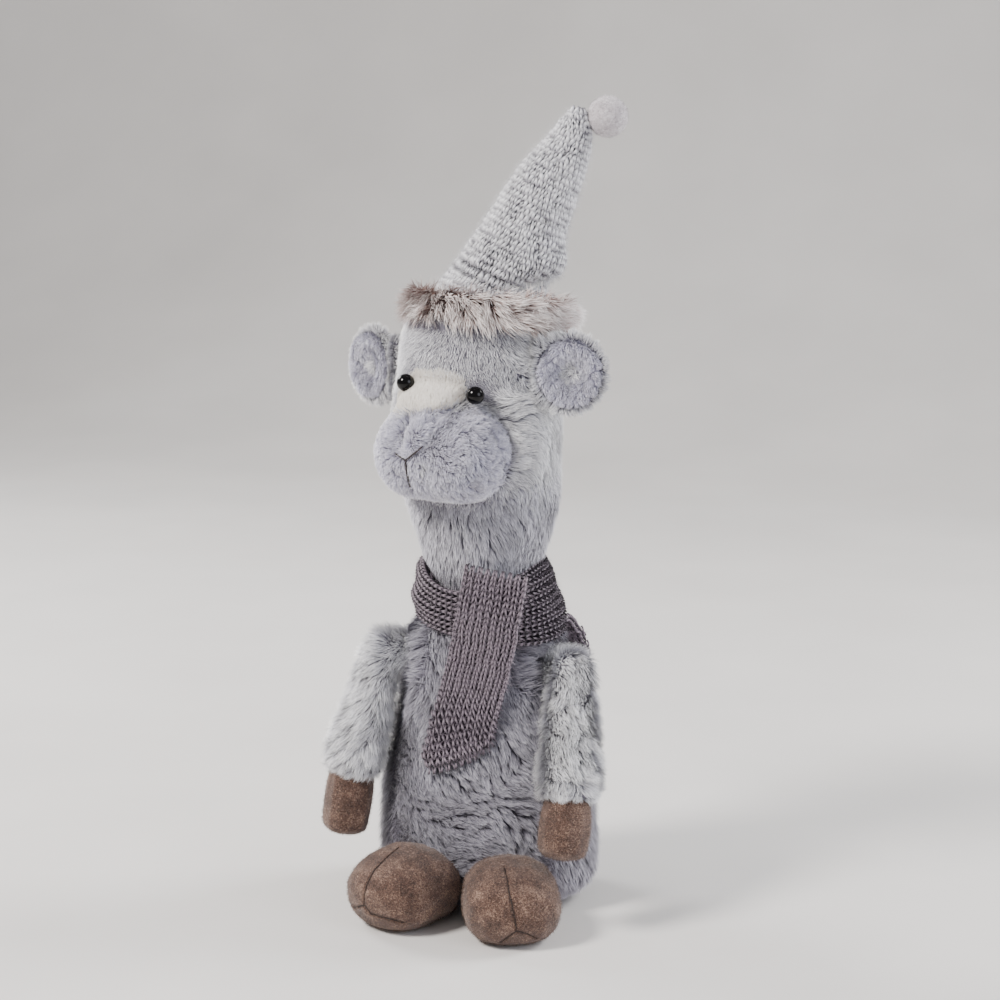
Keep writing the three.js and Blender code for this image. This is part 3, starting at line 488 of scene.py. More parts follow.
# A Geometry Nodes tree with named inputs, the way to add its nodes, and its inputs by name
def newTree(name, floats, wholes):
    tree = bpy.data.node_groups.new(name, "GeometryNodeTree")
    tree.interface.new_socket("Geometry", in_out="OUTPUT", socket_type="NodeSocketGeometry")
    kinds = {"Geometry": "Geometry", **dict.fromkeys(floats, "Float"), **dict.fromkeys(wholes, "Int"),
             "Material": "Material"}
    for socket, kind in kinds.items():
        tree.interface.new_socket(socket, in_out="INPUT", socket_type=f"NodeSocket{kind}")
    given = addNode(tree, "NodeGroupInput")
    return tree, partial(addNode, tree), {socket: outOf(given, socket) for socket in kinds}


def storedValues(add, **kinds):
    return {name: outOf(add("GeometryNodeInputNamedAttribute", {"Name": name}, data_type=kind))
            for name, kind in kinds.items()}


# The end of a tree: real geometry, its map OFBake for the look, smooth, in the given material
def finishTree(add, placed, u, v, material):
    real = add("GeometryNodeRealizeInstances", (placed,))
    mapped = add(storeNode, {"Geometry": real, "Name": "OFBake", "Value": add(joinNode, (u, v))},
                 data_type="FLOAT2", domain="CORNER")
    smooth = add("GeometryNodeSetShadeSmooth", (mapped,))
    add("NodeGroupOutput", (add("GeometryNodeSetMaterial", {"Geometry": smooth, "Material": material}),))


# One strand is a tapered blade that leans over. Strands near the middle of a tuft turn towards its tip.
def buildPile():
    tree, add, given = newTree("pile", (
        "Density", "Length", "Spread", "Width", "Lean Start", "Lean End", "Tuft Size", "Tuft Pull", "Mound",
        "Swirl", "Swirl Size", "Jitter", "Lift"), ("Rows", "Seed"))
    stored = storedValues(add, cover="FLOAT", pileLength="FLOAT", tone="FLOAT", comb="FLOAT_VECTOR",
                          strand="FLOAT_VECTOR")
    leanStart, tuftSize, seed = given["Lean Start"], given["Tuft Size"], given["Seed"]
    seeds = {shift: add(mathNode, (seed, shift), operation="ADD") for shift in (3.0, 5.0, 7.0, 9.0, 11.0)}

    # the blade, one unit long, on a grid whose rows run from root to tip
    grid = add("GeometryNodeMeshGrid", {"Size X": 1.0, "Size Y": 1.0, "Vertices X": 2,
                                        "Vertices Y": given["Rows"]})
    spot = add(splitNode, (add("GeometryNodeInputPosition"),))
    along = add(mathNode, (outOf(spot, "Y"), 0.5), operation="ADD")
    turn = add(mathNode, (given["Lean End"], leanStart), operation="SUBTRACT")
    angle = add(mathNode, (along, turn, leanStart), operation="MULTIPLY_ADD")
    bends = []
    for wave, angles in (("COSINE", (leanStart, angle)), ("SINE", (angle, leanStart))):
        gap = add(mathNode, [add(mathNode, (a,), operation=wave) for a in angles], operation="SUBTRACT")
        bends.append(add(mathNode, (gap, turn), operation="DIVIDE"))
    ahead, rise = bends
    taper = add(mathNode, (1.0, add(mathNode, (along, 2.4), operation="POWER")), operation="SUBTRACT")
    narrow = add(mathNode, (outOf(spot, "X"), taper), operation="MULTIPLY")
    slender = add(mathNode, (given["Width"], given["Length"]), operation="DIVIDE")
    across = add(mathNode, (narrow, slender), operation="MULTIPLY")
    shaped = add("GeometryNodeSetPosition", {"Geometry": outOf(grid, "Mesh"),
                                             "Position": add(joinNode, (ahead, across, rise))})
    marked = add(storeNode, {"Geometry": shaped, "Name": "strand", "Value": outOf(grid, "UV Map")},
                 data_type="FLOAT_VECTOR", domain="CORNER")
    blade = add("GeometryNodeMergeByDistance", {"Geometry": marked, "Distance": 0.002})

    # roots, and the middles of the tufts
    density = add(mathNode, (given["Density"], stored["cover"]), operation="MULTIPLY")
    roots = add(scatterNode, {"Mesh": given["Geometry"], "Density": density, "Seed": seed},
                distribute_method="RANDOM")
    tuftArea = add(mathNode, (tuftSize, tuftSize), operation="MULTIPLY")
    tufts = add(scatterNode, {
        "Mesh": given["Geometry"], "Distance Min": add(mathNode, (tuftSize, 0.6), operation="MULTIPLY"),
        "Density Max": add(mathNode, (1.6, tuftArea), operation="DIVIDE"), "Seed": seeds[11.0]},
        distribute_method="POISSON")
    near = add("GeometryNodeProximity", (outOf(tufts, "Points"),), target_element="POINTS")
    tuft = outOf(near, "Position")
    awayShare = add(mathNode, (outOf(near, "Distance"), tuftSize), operation="DIVIDE")
    fromMiddle = add(mathNode, (awayShare, 1.0), operation="MINIMUM")

    # the way each strand lies
    here = add("GeometryNodeInputPosition")
    comb = add(vectorNode, (stored["comb"],), operation="NORMALIZE")
    swirlScale = add(mathNode, (1.0, given["Swirl Size"]), operation="DIVIDE")
    swirlNoise = add(noiseNode, {"Vector": tuft, "Scale": swirlScale, "Detail": 1.0})
    centred = add(vectorNode, (outOf(swirlNoise, "Color"), (0.5, 0.5, 0.5)), operation="SUBTRACT")
    swirlSize = add(mathNode, (given["Swirl"], 4.0), operation="MULTIPLY")
    swirl = add(vectorNode, {0: centred, "Scale": swirlSize}, operation="SCALE")
    way = add(vectorNode, (add(vectorNode, (comb, swirl), operation="ADD"),), operation="NORMALIZE")
    tipReach = add(mathNode, (given["Length"], 0.8), operation="MULTIPLY")
    reach = add(vectorNode, {0: way, "Scale": tipReach}, operation="SCALE")
    tip = add(vectorNode, (tuft, reach), operation="ADD")
    toTip = add(vectorNode, (tip, here), operation="SUBTRACT")
    pulled = add("ShaderNodeMix", {0: given["Tuft Pull"], 4: reach, 5: toTip}, data_type="VECTOR")
    either = {0: (-1.0, -1.0, -1.0), 1: (1.0, 1.0, 1.0)}
    strays = [add(randomNode, {**either, "Seed": seeds[shift]}, data_type="FLOAT_VECTOR")
              for shift in (3.0, 5.0)]
    jitter = add(mathNode, (given["Jitter"], given["Length"]), operation="MULTIPLY")
    loose = add(vectorNode, {0: strays[0], "Scale": jitter}, operation="SCALE")
    lie = add(vectorNode, (pulled.outputs[1], loose), operation="ADD")
    tilt = add(vectorNode, {0: strays[1], "Scale": given["Lift"]}, operation="SCALE")
    stand = add(vectorNode, (outOf(roots, "Normal"), tilt), operation="ADD")
    rotation = add("FunctionNodeAxesToRotation", {"Primary Axis": stand, "Secondary Axis": lie},
                   primary_axis="Z", secondary_axis="X")

    # the tone of each strand: its own, its tuft's and a patch's; darker where tufts meet and lighter at a tuft's
    # middle, as painted shade
    tuftScale = add(mathNode, (0.9, tuftSize), operation="DIVIDE")
    tuftNoise = add(noiseNode, {"Vector": tuft, "Scale": tuftScale, "Detail": 0.0})
    patchNoise = add(noiseNode, {"Vector": here, "Scale": 28.0, "Detail": 1.0})
    tuftShade, patchShade = (add(mathNode, (outOf(grain, "Fac"), 0.5), operation="SUBTRACT")
                             for grain in (tuftNoise, patchNoise))
    patch = add(mathNode, (patchShade, 0.6), operation="MULTIPLY")
    spread = add(mathNode, (tuftShade, 1.1, patch), operation="MULTIPLY_ADD")
    # painted shade: strands far from their tuft's middle are darker, those near it lighter
    inward = add(mathNode, (0.45, fromMiddle), operation="SUBTRACT")
    tuftGapShade = add(mathNode, (inward, given["Mound"]), operation="MULTIPLY")
    own = add(randomNode, {2: 0.0, 3: 1.0, "Seed": seeds[7.0]}, data_type="FLOAT")
    ownShade = add(mathNode, (own, 0.4, 0.32), operation="MULTIPLY_ADD")
    tuftTone = add(mathNode, (spread, tuftGapShade), operation="ADD")
    tone = add(mathNode, (ownShade, tuftTone), operation="ADD")
    toned = add(storeNode, {"Geometry": outOf(roots, "Points"), "Name": "tone",
                            "Value": add("ShaderNodeClamp", (tone,))}, data_type="FLOAT", domain="POINT")

    # the size of each strand: its own, the mound of its tuft, and the length that the surface gives
    shortest, longest = (add(mathNode, (1.0, given["Spread"]), operation=way) for way in ("SUBTRACT", "ADD"))
    longer = add(randomNode, {2: shortest, 3: longest, "Seed": seeds[9.0]}, data_type="FLOAT")
    sinking = add(mathNode, (given["Mound"], 0.6), operation="MULTIPLY")
    sunk = add(mathNode, (fromMiddle, sinking), operation="MULTIPLY")
    mounded = add(mathNode, (1.0, sunk), operation="SUBTRACT")
    varied = add(mathNode, (longer, mounded), operation="MULTIPLY")
    full = add(mathNode, (stored["pileLength"], given["Length"]), operation="MULTIPLY")
    size = add(mathNode, (varied, full), operation="MULTIPLY")
    placed = add("GeometryNodeInstanceOnPoints", {"Points": toned, "Instance": blade, "Rotation": rotation,
                                                  "Scale": add(joinNode, (size, size, size))})

    # the strand's shade runs across U and its length along V
    strandUv = add(splitNode, (stored["strand"],))
    sliver = add(mathNode, (outOf(strandUv, "X"), 0.03, 0.03), operation="MULTIPLY_ADD")
    u = add(mathNode, (stored["tone"], 0.9, sliver), operation="MULTIPLY_ADD")
    v = add(mathNode, (outOf(strandUv, "Y"), 0.9, 0.05), operation="MULTIPLY_ADD")
    finishTree(add, placed, u, v, given["Material"])
    return tree


pileTree = buildPile()
# per square millimetre, in millimetres or degrees; the others are shares
plainPile = {"Density": 1.0, "Length": 10.0, "Spread": 0.25, "Width": 0.45, "Lean Start": 15.0,
             "Lean End": 75.0, "Tuft Size": 6.0, "Tuft Pull": 0.6, "Mound": 0.5, "Swirl": 0.5,
             "Swirl Size": 24.0, "Jitter": 0.15, "Lift": 0.15, "Rows": 3, "Seed": 1}
faceCount = {}


# Runs a tree on a thing with its inputs set in real units, and keeps what comes out
def runTree(thing, tree, values, material):
    name = thing.name
    mod = thing.modifiers.new(tree.name, "NODES")
    mod.node_group = tree
    for item in tree.interface.items_tree:
        if item.in_out != "INPUT" or item.name == "Geometry":
            continue
        value = material if item.name == "Material" else values[item.name]
        if item.name in ("Length", "Width", "Tuft Size", "Swirl Size"):
            value *= mm
        if item.name == "Density":
            value /= mm * mm
        if item.name.startswith("Lean"):
            value = math.radians(value)
        mod[item.identifier] = value
    applied(thing)
    thing.data.name = name


def settled(thing, body, slot, *nodes):
    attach(thing, body)
    if nodes:
        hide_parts(*nodes)
    thing.data.calc_loop_triangles()
    faceCount[thing.name] = len(thing.data.loop_triangles)
    print(thing.name, faceCount[thing.name], "triangles")
    return thing


# Grows a pile on a copy of a surface. cover, length and comb are functions of a vertex: how thick the pile
# grows there, how long it is against the setting, and which way it lies.
def growPile(name, surface, settings, material, body, slot, cover=None, length=None, comb=None):
    source = newObject(name, surface.data.copy())
    mesh = source.data
    mesh.materials.clear()
    thick = mesh.attributes.new("cover", "FLOAT", "POINT").data
    size = mesh.attributes.new("pileLength", "FLOAT", "POINT").data
    way = mesh.attributes.new("comb", "FLOAT_VECTOR", "POINT").data
    for i, vert in enumerate(mesh.vertices):
        p = vert.co / mm
        thick[i].value = cover(p, vert.normal, i) if cover else 1.0
        size[i].value = length(p, vert.normal, i) if length else 1.0
        way[i].vector = comb(p, vert.normal, i) if comb else down
    runTree(source, pileTree, dict(plainPile, **settings), material)
    if not source.data.materials:
        source.data.materials.append(material)
    return settled(source, body, slot)


def finishPiece(thing, material, body, slot, *nodes):
    thing.data.materials.clear()
    thing.data.materials.append(material)
    return settled(thing, body, slot, *nodes)


torsoShape = dict(
    roundness=2.2, inset=4.0, sides=96, offset=-2.5, top=160.0, foot=8.0, footTuck=3.0,
    lowRings=[0.4, 1.2, 3.0, 5.5], highRings=52, lumpTurn=2.1, lumpHeight=26.0, lump=1.2,
    widths=[(0, 47), (14, 55.5), (38, 57), (85, 50.5), (135, 39), (150, 28), (163, 25.5)],
    depths=[(0, 36), (14, 43.5), (38, 45), (85, 41.5), (135, 33.5), (150, 27.5), (163, 25.5)],
    seamForward=29.0, seamHeight=40.0, seamLean=8.9,
)


def torsoPoint(angle, height, grow):
    s = torsoShape
    way = level(angle)
    lump = noise.noise(way * s["lumpTurn"] + up * (height / s["lumpHeight"])) * s["lump"]
    wide = between(s["widths"], height) + grow + lump
    deep = between(s["depths"], height) + grow + lump
    middle = s["offset"] * (height / s["widths"][-1][0]) ** 2
    return Vector((middle + wide * rounded(math.cos(angle), s["roundness"]),
                   deep * rounded(math.sin(angle), s["roundness"]), height))


def makeTorso():
    s = torsoShape
    heights = s["lowRings"] + [s["foot"] + (s["top"] - s["foot"]) * i / (s["highRings"] - 1)
                               for i in range(s["highRings"])]
    rings = []
    for height in heights:
        grow = -s["footTuck"] * (1 - smoothStep(0, s["foot"], height)) - s["inset"]
        rings.append([torsoPoint(2 * math.pi * i / s["sides"], height, grow) for i in range(s["sides"])])
    return loft("torso_skin", rings)


def seamY(z):
    s = torsoShape
    return -s["seamForward"] + (z - s["seamHeight"]) * math.tan(math.radians(s["seamLean"]))


torsoSkin = makeTorso()
bellyPile = {"Density": 4.3, "Length": 7.6, "Width": 0.38, "Lean Start": 14.0, "Lean End": 76.0,
             "Tuft Size": 4.4, "Tuft Pull": 0.4, "Mound": 0.4, "Swirl": 0.8, "Seed": 21}
shoulderPile = dict(bellyPile, Length=9.5, Density=3.4, Seed=23)
backPile = {"Density": 1.55, "Length": 7.5, "Width": 0.6, "Lean Start": 20.0, "Lean End": 78.0,
            "Tuft Size": 5.0, "Tuft Pull": 0.45, "Mound": 0.4, "Swirl": 0.4, "Swirl Size": 30.0, "Seed": 22}
# where each pile starts and ends, as (low, high) of a soft edge; the two panels meet at the side seam
torsoCover = dict(
    scarf=(150, 158), floor=2.5, belly=(-1.0, 1.5), back=(0.5, 2.0), shoulderHeight=(112, 124),
    shoulderSide=(17, 24), shoulderMiddle=-2.0, shoulderBack=(8, 16), atSeam=0.5, seamReach=8.0,
    atFoot=0.25, footReach=(2, 16), sweepReach=(40, 95), fall=(0.45, -0.1, -0.95), sweep=(1.3, 0, 0.7),
)


def underScarf(p):
    return 1 - smoothStep(*torsoCover["scarf"], p.z)


def onShoulder(p):
    s = torsoCover
    side = smoothStep(*s["shoulderSide"], abs(p.x - s["shoulderMiddle"]))
    return smoothStep(*s["shoulderHeight"], p.z) * side * (1 - smoothStep(*s["shoulderBack"], p.y))


def beforeSeam(p, panel):
    return 1 - smoothStep(*torsoCover[panel], p.y - seamY(p.z))


def panelCover(p, share):
    return share * underScarf(p) * (1 - onShoulder(p)) * (p.z > torsoCover["floor"])


def torsoLength(p, normal, i):
    s = torsoCover
    seam = smoothStep(0, s["seamReach"], abs(p.y - seamY(p.z)))
    return atLeast(s["atSeam"], seam) * atLeast(s["atFoot"], smoothStep(*s["footReach"], p.z))


# The belly's pile falls from the chest and sweeps outwards low down
def bellyComb(p, normal, i):
    low = 1 - smoothStep(*torsoCover["sweepReach"], p.z)
    return Vector(torsoCover["fall"]) + Vector(torsoCover["sweep"]) * low


def shoulderComb(p, normal, i):
    return Vector((math.copysign(1.0, p.x), -0.25, 0.15))


# the belly and shoulder piles take the fur that is darkened as painted shade
growPile("belly_fur", torsoSkin, bellyPile, shadedTorsoFur, "torso", "grey_fur",
         cover=lambda p, n, i: panelCover(p, beforeSeam(p, "belly")), length=torsoLength, comb=bellyComb)
growPile("shoulder_fur", torsoSkin, shoulderPile, shadedTorsoFur, "torso", "grey_fur",
         cover=lambda p, n, i: onShoulder(p) * underScarf(p), comb=shoulderComb)
growPile("back_fur", torsoSkin, backPile, sideFur, "torso", "side_fur",
         cover=lambda p, n, i: panelCover(p, 1 - beforeSeam(p, "back")), length=torsoLength)
finishPiece(torsoSkin, greyBacking, "torso", "grey_fur", "belly_cover", "back_cover", "base_panel")
print("torso done")

# neck, head and muzzle are one skin; the head looks to the toy's right
headYaw = math.radians(16.5)
headCentre = Vector((-4.5, -2, 0))
faceWay = Vector((-math.sin(headYaw), -math.cos(headYaw), 0))
leftWay = Vector((math.cos(headYaw), -math.sin(headYaw), 0))
headTurn = Matrix((leftWay, -faceWay, up)).transposed()
headShape = dict(
    inset=3.2, underScarf=2.2, scarfReach=(160, 178), sides=96, rings=76, crowd=0.1,
    lumpTurn=1.6, lumpHeight=24.0, lumpStart=7.0, lump=1.3,
    wide=[(150, 22), (160, 26), (170, 29.5), (179, 30.8), (187, 33.5), (202, 37.8), (217, 40), (230, 43),
          (242, 43.5), (262, 43), (283, 41), (296, 37.5), (305, 31.5), (310, 24), (313, 12)],
    deep=[(150, 22), (160, 26), (170, 29.5), (179, 30.8), (187, 33.5), (202, 37.8), (217, 39.5), (230, 40.2),
          (242, 40.5), (262, 39.8), (283, 39.5), (296, 36.5), (305, 31), (310, 24), (313, 12)],
    centreX=[(150, -2.5), (205, -2.5), (235, -4.5), (313, -4.5)],
    centreY=[(150, 0), (205, 0), (235, -2), (313, -2)],
)
# each egg: half sizes, then how far ahead of the head's middle, to the left and high, then its slope; the
# last one only fills the slope between the eyes
muzzleShape = dict(
    inset=1.8, shift=2.0, lowest=200.0, edge=(1.03, 1.07),
    eggs=[((21.5, 25.5, 23.5), (37, 14.5, 234), 0), ((21.5, 25.5, 23.5), (37, -10.5, 234), 0),
          ((14.5, 24.0, 13.5), (44, 2, 246), 27), ((13.0, 24.0, 22.0), (37.5, 2, 232), 0),
          ((20.0, 19.0, 9.5), (38, -2.0, 257.5), 36)],
)


def makeHead():
    s = headShape
    low, high = s["wide"][0][0], s["wide"][-1][0]
    rings = []
    for ring in range(s["rings"] + 1):
        share = ring / s["rings"]
        height = low + (high - low) * min(share + s["crowd"] * math.sin(math.pi * share) * share, 1.0)
        centre = Vector((between(s["centreX"], height), between(s["centreY"], height), height))
        inset = s["inset"] + s["underScarf"] * (1 - smoothStep(*s["scarfReach"], height))
        points = []
        for i in range(s["sides"]):
            angle = 2 * math.pi * i / s["sides"]
            place = level(angle) * s["lumpTurn"] + up * (height / s["lumpHeight"] + s["lumpStart"])
            lump = noise.noise(place) * s["lump"]
            wide = max(between(s["wide"], height) - inset + lump, 0.5)
            deep = max(between(s["deep"], height) - inset + lump, 0.5)
            points.append(centre + leftWay * (wide * math.cos(angle)) - faceWay * (deep * math.sin(angle)))
        rings.append(points)
    return loft("head_form", rings)


def eggFrame(entry):
    half, (ahead, aside, height), slope = entry
    centre = headCentre + faceWay * ahead + leftWay * aside + up * height
    return half, centre, headTurn @ Matrix.Rotation(math.radians(slope), 3, "X")


def makeFace():
    parts = [makeHead()]
    for entry in muzzleShape["eggs"]:
        half, centre, turn = eggFrame(entry)
        parts.append(egg("muzzle_form", [h - muzzleShape["inset"] for h in half], centre, turn))
    return softened(joinedSkin("head_skin", parts), 1.4, relax=24)


eggInverses = []
for half, centre, turn in (eggFrame(entry) for entry in muzzleShape["eggs"][:-1]):
    shrink = Matrix.Diagonal([1 / (h - muzzleShape["inset"]) for h in half])
    eggInverses.append((shrink @ turn.transposed(), centre))


# How far inside the muzzle's eggs a point is: below 1 is inside
def muzzleDepth(p):
    return min((inverse @ (p - centre)).length for inverse, centre in eggInverses)


headSkin = makeFace()
headTree = treeOf(headSkin)
# the blaze's outline and the face's seams as paths of pixels in the photograph
facePaths = dict(
    blaze=[(417, 374), (443, 373), (459, 378), (463, 386), (462, 400), (447, 409), (416, 414), (393, 417),
           (396, 402), (400, 391)],
    cheek=[(483, 406), (497, 418), (507, 433), (511, 447), (510, 459), (505, 470)],
    bridge=[(465, 398), (447, 412), (436, 422), (424, 446)],
    nose=[(397, 453), (407, 460), (424, 446)], mouth=[(407, 461), (408, 472), (412, 487)],
)


def mirrored(line):
    middle = (headCentre + leftWay * muzzleShape["shift"]) * mm
    return [p - leftWay * (2 * (p - middle).dot(leftWay)) for p in line]


seams = {name: seamOver(headTree, path) for name, path in facePaths.items() if name != "blaze"}
for lines, depth, width in (([seams["cheek"], mirrored(seams["cheek"])], 2.0, 2.2),
                            ([seams["bridge"], mirrored(seams["bridge"])], 2.6, 2.4),
                            ([seams["mouth"], seams["nose"]], 0.9, 1.2)):
    crease(headSkin, lines, depth, width)

eyeSettings = dict(radius=4.4, proud=3.0, wide=42.3, deep=39.1, right=(24.0, 267.5), left=(30.0, 264.0))


def eyeCentre(side, spread, height):
    s = eyeSettings
    turn = headYaw - side * math.radians(spread)
    out = Vector((-math.sin(turn), -math.cos(turn), 0))
    reach = 1 / math.sqrt((out.dot(leftWay) / s["wide"]) ** 2 + (out.dot(faceWay) / s["deep"]) ** 2)
    return headCentre + out * (reach + s["proud"]) + up * height, out


eyePlaces = {side: eyeCentre(sign, *eyeSettings[side]) for side, sign in (("right", -1), ("left", 1))}
blazeSettings = dict(ahead=20.0, low=240.0, high=285.0, ragged=1.8, grain=0.45, soft=2.5, farSide=(-32, -28),
                     raised=1.0)


def blazeAmount(p):
    s = blazeSettings
    if (p - headCentre).dot(faceWay) < s["ahead"] or not s["low"] < p.z < s["high"]:
        return 0.0
    x, y = pixelOf(p * mm)
    shape = facePaths["blaze"]
    ragged = distanceToPath(x, y, shape + shape[:1]) + s["ragged"] * noise.noise(p * s["grain"])
    farSide = smoothStep(*s["farSide"], (p - headCentre).dot(leftWay))
    return farSide * smoothStep(-s["soft"], s["soft"], ragged if insideShape(x, y, shape) else -ragged)


def muzzleAmount(p):
    return 1 - smoothStep(*muzzleShape["edge"], muzzleDepth(p)) if p.z > muzzleShape["lowest"] else 0.0


blazeOf = [blazeAmount(v.co / mm) for v in headSkin.data.vertices]
muzzleOf = [muzzleAmount(v.co / mm) for v in headSkin.data.vertices]
ways = [v.normal.copy() for v in headSkin.data.vertices]
for vert, way, blaze in zip(headSkin.data.vertices, ways, blazeOf):
    vert.co += way * (blazeSettings["raised"] * mm * blaze)
headSkin.data.update()


def eyeRoom(p):
    return min((p - place).length for place, _ in eyePlaces.values())


threadTree = lineTree([seams["nose"], seams["mouth"]])


def seamRoom(p):
    return threadTree.find(p * mm)[2] / mm


# soft edges as (low, high): of the distance to an eye or a thread, of the height, and of the panels' shares
headCover = dict(
    eye=(4.6, 5.6), muzzleEye=(4.2, 5.2), blazeEye=(4.0, 5.0), thread=(0.7, 1.7), blazeOverMuzzle=(0.2, 0.8),
    blaze=(0.0, 0.5), neckTop=(205, 231), scarf=165.0, brim=294.0, forehead=(256, 270), foreheadTurn=(0.2, 0.8),
    foreheadShorter=0.5, atEye=0.3, eyeReach=(4, 15), atScarf=0.55, scarfReach=(166, 186),
)
headCombing = dict(face=(215, 240), ahead=(-8, 22), halfWidth=40.0, fall=1.2, aside=0.5, foreheadAside=0.8)
muzzleMiddle = headCentre + faceWay * 37 + up * 236


def headBase(p, i):
    return (1 - blazeOf[i]) * (1 - muzzleOf[i]) * smoothStep(*headCover["eye"], eyeRoom(p))


def aboveNeck(p):
    return smoothStep(*headCover["neckTop"], p.z)


def onForehead(p, normal):
    return smoothStep(*headCover["foreheadTurn"], normal.dot(faceWay)) * smoothStep(*headCover["forehead"], p.z)


def headLength(p, normal, i):
    s = headCover
    return (1 - s["foreheadShorter"] * onForehead(p, normal)) \
        * atLeast(s["atEye"], smoothStep(*s["eyeReach"], eyeRoom(p))) \
        * atLeast(s["atScarf"], smoothStep(*s["scarfReach"], p.z))


def headComb(p, normal, i):
    s = headCombing
    onFace = smoothStep(*s["face"], p.z) * smoothStep(*s["ahead"], (p - headCentre).dot(faceWay))
    aside = leftWay * ((p - headCentre).dot(leftWay) / s["halfWidth"])
    away = (p - muzzleMiddle).normalized() * onFace + down * (s["fall"] - onFace) + aside * s["aside"]
    return away.lerp(down + aside * s["foreheadAside"], onForehead(p, normal))


headPile = {"Density": 3.6, "Length": 5.8, "Width": 0.42, "Lean Start": 22.0, "Lean End": 80.0,
            "Tuft Size": 4.2, "Tuft Pull": 0.3, "Mound": 0.25, "Swirl": 0.6, "Swirl Size": 26.0, "Seed": 31,
            "Jitter": 0.12, "Lift": 0.08}
neckPile = dict(headPile, Density=2.9, Length=6.4, Width=0.46, Seed=32)
growPile("head_fur", headSkin, headPile, silverFur, "head_and_hat", "grey_fur",
         cover=lambda p, n, i: headBase(p, i) * aboveNeck(p) * (p.z < headCover["brim"]),
         length=headLength, comb=headComb)
# below the head the pile takes the fur darkened as painted shade under the chin
growPile("neck_fur", headSkin, neckPile, shadedNeckFur, "head_and_hat", "grey_fur",
         cover=lambda p, n, i: headBase(p, i) * (1 - aboveNeck(p)) * (p.z > headCover["scarf"]),
         length=headLength, comb=headComb)
muzzlePile = {"Density": 7.0, "Length": 2.7, "Width": 0.36, "Lean Start": 10.0, "Lean End": 74.0,
              "Tuft Size": 3.2, "Tuft Pull": 0.4, "Mound": 0.3, "Swirl": 0.9, "Swirl Size": 9.0, "Seed": 33,
              "Spread": 0.35, "Jitter": 0.25, "Lift": 0.2}
noseSpot = Vector((-21.9, -66, 238))


def muzzleCover(p, normal, i):
    s = headCover
    return muzzleOf[i] * (1 - smoothStep(*s["blazeOverMuzzle"], blazeOf[i])) \
        * smoothStep(*s["muzzleEye"], eyeRoom(p)) * smoothStep(*s["thread"], seamRoom(p))


def blazeCover(p, normal, i):
    return smoothStep(*headCover["blaze"], blazeOf[i]) * smoothStep(*headCover["blazeEye"], eyeRoom(p))


growPile("muzzle_plush", headSkin, muzzlePile, mutedPlush, "head_and_hat", "short_plush", cover=muzzleCover,
         comb=lambda p, n, i: (p - noseSpot).normalized() + down * 0.4)
blazePile = {"Density": 9.0, "Length": 2.2, "Width": 0.55, "Lean Start": 20.0, "Lean End": 82.0,
             "Tuft Size": 3.0, "Tuft Pull": 0.2, "Mound": 0.1, "Swirl": 0.3, "Swirl Size": 14.0, "Seed": 34,
             "Spread": 0.2}
growPile("blaze_plush", headSkin, blazePile, creamPlush, "head_and_hat", "cream_plush", cover=blazeCover,
         comb=lambda p, n, i: up * 0.8 - faceWay * 0.4)
finishPiece(headSkin, greyBacking, "head_and_hat", "grey_fur", "neck", "head", "muzzle", "blaze_panel")


for side, (place, out) in eyePlaces.items():
    bead = egg(f"bead_{side}", [eyeSettings["radius"]] * 3, place, up.rotation_difference(out).to_matrix(), 28)
    bead.data.shade_smooth()
    finishPiece(bead, blackBead, "head_and_hat", "black_bead", f"eye_{side}")
threadSize = dict(raised=1.3, radius=0.42, wobble=0.25)
for name in ("nose", "mouth"):
    raised = [p + (p - headCentre * mm - up * p.z).normalized() * (threadSize["raised"] * mm)
              for p in seams[name]]
    thread = tube(f"{name}_thread", raised, threadSize["radius"], wobble=threadSize["wobble"])
    finishPiece(thread, darkThread, "head_and_hat", "short_plush")
print("head done")

earPile = {"Density": 5.5, "Length": 4.4, "Lean Start": 10.0, "Lean End": 62.0, "Tuft Size": 4.0,
           "Tuft Pull": 0.5, "Mound": 0.45, "Swirl": 0.6, "Swirl Size": 12.0, "Seed": 41}
liningPile = dict(muzzlePile, Density=8.0, Length=2.3, Seed=42)
earShape = dict(turn=math.radians(20), dimple=7.5, reach=7.0, behind=-4.0, inset=1.8, liningInset=-0.9)


def makeEar(side, sign):
    s = earShape
    body = f"{side}_ear"
    low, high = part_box(f"ear_lining_{side}")
    middle = (low + high) / 2
    ahead = faceWay * math.cos(s["turn"]) + leftWay * (math.sin(s["turn"]) * sign)
    skin = softSkin(f"ear_{side}_skin", f"ear_{side}", 0.8, inset=s["inset"], relax=6)
    lining = softSkin(f"ear_{side}_lining", f"ear_lining_{side}", 0.7, inset=s["liningInset"], relax=4)
    for part in (lining, skin):
        for vert in part.data.vertices:
            away = vert.co - middle
            height = away.dot(ahead) / mm
            away -= ahead * away.dot(ahead)
            sink = math.exp(-(away.length / mm / s["reach"]) ** 2) * smoothStep(s["behind"], 0, height)
            vert.co -= ahead * (s["dimple"] * mm * sink)
        part.data.update()

    def outwards(p):
        return (p - middle / mm).normalized()

    growPile(f"ear_{side}_fur", skin, earPile, silverFur, body, "grey_fur",
             comb=lambda p, n, i: outwards(p) * 1.2 + down * 0.2)
    growPile(f"ear_{side}_plush", lining, liningPile, mutedPlush, body, "short_plush",
             comb=lambda p, n, i: outwards(p) * 0.35 + down * 0.7)
    finishPiece(skin, greyBacking, body, "grey_fur", f"ear_{side}")
    finishPiece(lining, plushBacking, body, "short_plush", f"ear_lining_{side}")


makeEar("right", -1)
makeEar("left", 1)
print("ears done")

